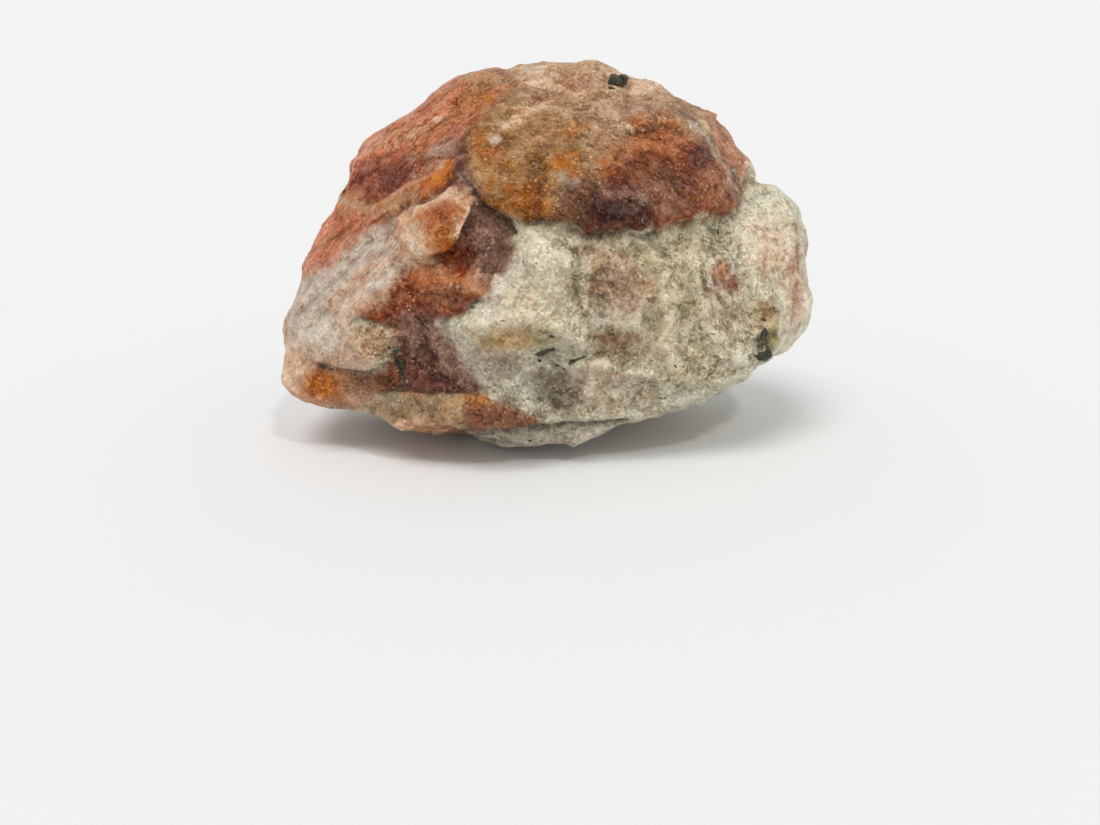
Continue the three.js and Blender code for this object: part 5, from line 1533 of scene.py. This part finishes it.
def make_glitter_tree():
    """Scatters thin six-sided plates, turned every way, as densely as the skin's value says."""
    tree = bpy.data.node_groups.new("glitter_plates", "GeometryNodeTree")
    face = tree.interface
    face.new_socket("Geometry", in_out="INPUT", socket_type="NodeSocketGeometry")
    face.new_socket("Plates per area", in_out="INPUT", socket_type="NodeSocketFloat")
    face.new_socket("Plate radius", in_out="INPUT", socket_type="NodeSocketFloat")
    face.new_socket("Seed", in_out="INPUT", socket_type="NodeSocketInt")
    face.new_socket("Geometry", in_out="OUTPUT", socket_type="NodeSocketGeometry")
    add, link = tree.nodes.new, tree.links.new
    way_in, way_out = add("NodeGroupInput"), add("NodeGroupOutput")
    share = add("GeometryNodeInputNamedAttribute")
    share.data_type = "FLOAT"
    share.inputs["Name"].default_value = "glitter"
    number = add("ShaderNodeMath")
    number.operation = "MULTIPLY"
    link(way_in.outputs["Plates per area"], number.inputs[0])
    link(share.outputs["Attribute"], number.inputs[1])
    scatter = add("GeometryNodeDistributePointsOnFaces")
    link(way_in.outputs["Geometry"], scatter.inputs["Mesh"])
    link(number.outputs[0], scatter.inputs["Density"])
    link(way_in.outputs["Seed"], scatter.inputs["Seed"])
    plate = add("GeometryNodeMeshCylinder")
    plate.inputs["Vertices"].default_value = PLATE_SIDES
    plate.inputs["Depth"].default_value = PLATE_THICKNESS
    link(way_in.outputs["Plate radius"], plate.inputs["Radius"])
    turn = add("FunctionNodeRandomValue")
    turn.data_type = "FLOAT_VECTOR"
    turn.inputs["Max"].default_value = (math.tau, math.tau, math.tau)
    turn.inputs["Seed"].default_value = 5
    size = add("FunctionNodeRandomValue")
    size.data_type = "FLOAT_VECTOR"
    size.inputs["Min"].default_value = (0.5, 0.3, 1.0)
    size.inputs["Max"].default_value = (2.0, 0.7, 1.0)
    size.inputs["Seed"].default_value = 9
    instances = add("GeometryNodeInstanceOnPoints")
    link(scatter.outputs["Points"], instances.inputs["Points"])
    link(plate.outputs["Mesh"], instances.inputs["Instance"])
    link(turn.outputs["Value"], instances.inputs["Rotation"])
    link(size.outputs["Value"], instances.inputs["Scale"])
    real = add("GeometryNodeRealizeInstances")
    link(instances.outputs["Instances"], real.inputs["Geometry"])
    coated = add("GeometryNodeSetMaterial")
    coated.inputs["Material"].default_value = glitter_material
    link(real.outputs["Geometry"], coated.inputs["Geometry"])
    link(coated.outputs["Geometry"], way_out.inputs["Geometry"])
    return tree


# %% Scatter the glitter
carrier = bpy.data.objects.new("glitter_carrier", skin.copy())
bpy.context.scene.collection.objects.link(carrier)
glitter_tree = make_glitter_tree()
modifier = carrier.modifiers.new("glitter", "NODES")
modifier.node_group = glitter_tree
settings = {"Plates per area": 600000.0, "Plate radius": 0.00006, "Seed": 12}
for socket in glitter_tree.interface.items_tree:
    if socket.in_out == "INPUT" and socket.name in settings:
        modifier[socket.identifier] = settings[socket.name]
view = bpy.context.evaluated_depsgraph_get()
glitter_mesh = bpy.data.meshes.new_from_object(carrier.evaluated_get(view))
glitter_mesh.name = "glitter_plates"
bpy.data.objects.remove(carrier)
for name in [a.name for a in glitter_mesh.attributes if a.name in ("glitter", "habit_and_shading")]:
    glitter_mesh.attributes.remove(glitter_mesh.attributes[name])
glitter = bpy.data.objects.new("glitter_plates", glitter_mesh)
bpy.context.scene.collection.objects.link(glitter)
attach(glitter, "root")
print("glitter:", len(glitter_mesh.polygons) // PLATE_FACES, "plates")

# %% [markdown]
# The light in the photograph is wide and soft and comes mostly from above, and what lies under
# the stone throws a little back. A wide pale floor and a world that is white at the horizon and
# darker overhead give that, with a wide soft lamp above. A second, small lamp wakes the glints.

# %% Floor
FLOOR = 3.0
floor_mesh = bpy.data.meshes.new("floor")
floor_mesh.from_pydata(
    [(-FLOOR, -FLOOR, 0), (FLOOR, -FLOOR, 0), (FLOOR, FLOOR, 0), (-FLOOR, FLOOR, 0)], [],
    [(0, 1, 2, 3)])
floor = bpy.data.objects.new("floor", floor_mesh)
bpy.context.scene.collection.objects.link(floor)
paper = bpy.data.materials.new("pale_paper")
paper_tree = new_tree(paper)
paper_shader = paper_tree.nodes.new("ShaderNodeBsdfPrincipled")
paper_shader.inputs["Base Color"].default_value = (0.83, 0.828, 0.823, 1)
paper_shader.inputs["Roughness"].default_value = 0.9
paper_shader.inputs["Specular IOR Level"].default_value = 0.0
paper_output = paper_tree.nodes.new("ShaderNodeOutputMaterial")
paper_tree.links.new(paper_shader.outputs[0], paper_output.inputs["Surface"])
floor_mesh.materials.append(paper)
print("floor", 2 * FLOOR, "m wide")

# %% World and lamps
world = bpy.data.worlds.new("studio")
world.use_nodes = True
sky = world.node_tree
where = sky.nodes.new("ShaderNodeTexCoord").outputs["Generated"]
parts = sky.nodes.new("ShaderNodeSeparateXYZ")
sky.links.new(where, parts.inputs[0])
climb = sum_node(sky, "MULTIPLY_ADD", parts.outputs["Z"], 1.3, -0.2, clamp=True)
shade = mix_colours(sky, climb, (0.90, 0.90, 0.897, 1), (0.36, 0.365, 0.37, 1))
sky.links.new(shade, sky.nodes["Background"].inputs["Color"])
bpy.context.scene.world = world
bpy.context.scene.view_settings.view_transform = "Standard"


def add_sun(name, from_way, strength, width):
    """A lamp far away; its width is the angle that it fills, in degrees."""
    data = bpy.data.lights.new(name, "SUN")
    data.energy = strength
    data.angle = math.radians(width)
    lamp = bpy.data.objects.new(name, data)
    lamp.rotation_euler = Vector(from_way).to_track_quat("Z", "Y").to_euler()
    bpy.context.scene.collection.objects.link(lamp)


add_sun("overhead", (-0.22, -0.45, 0.87), 1.44, 30)
add_sun("spark", (0.30, -0.60, 0.74), 0.6, 5)
print("world and lamps set")
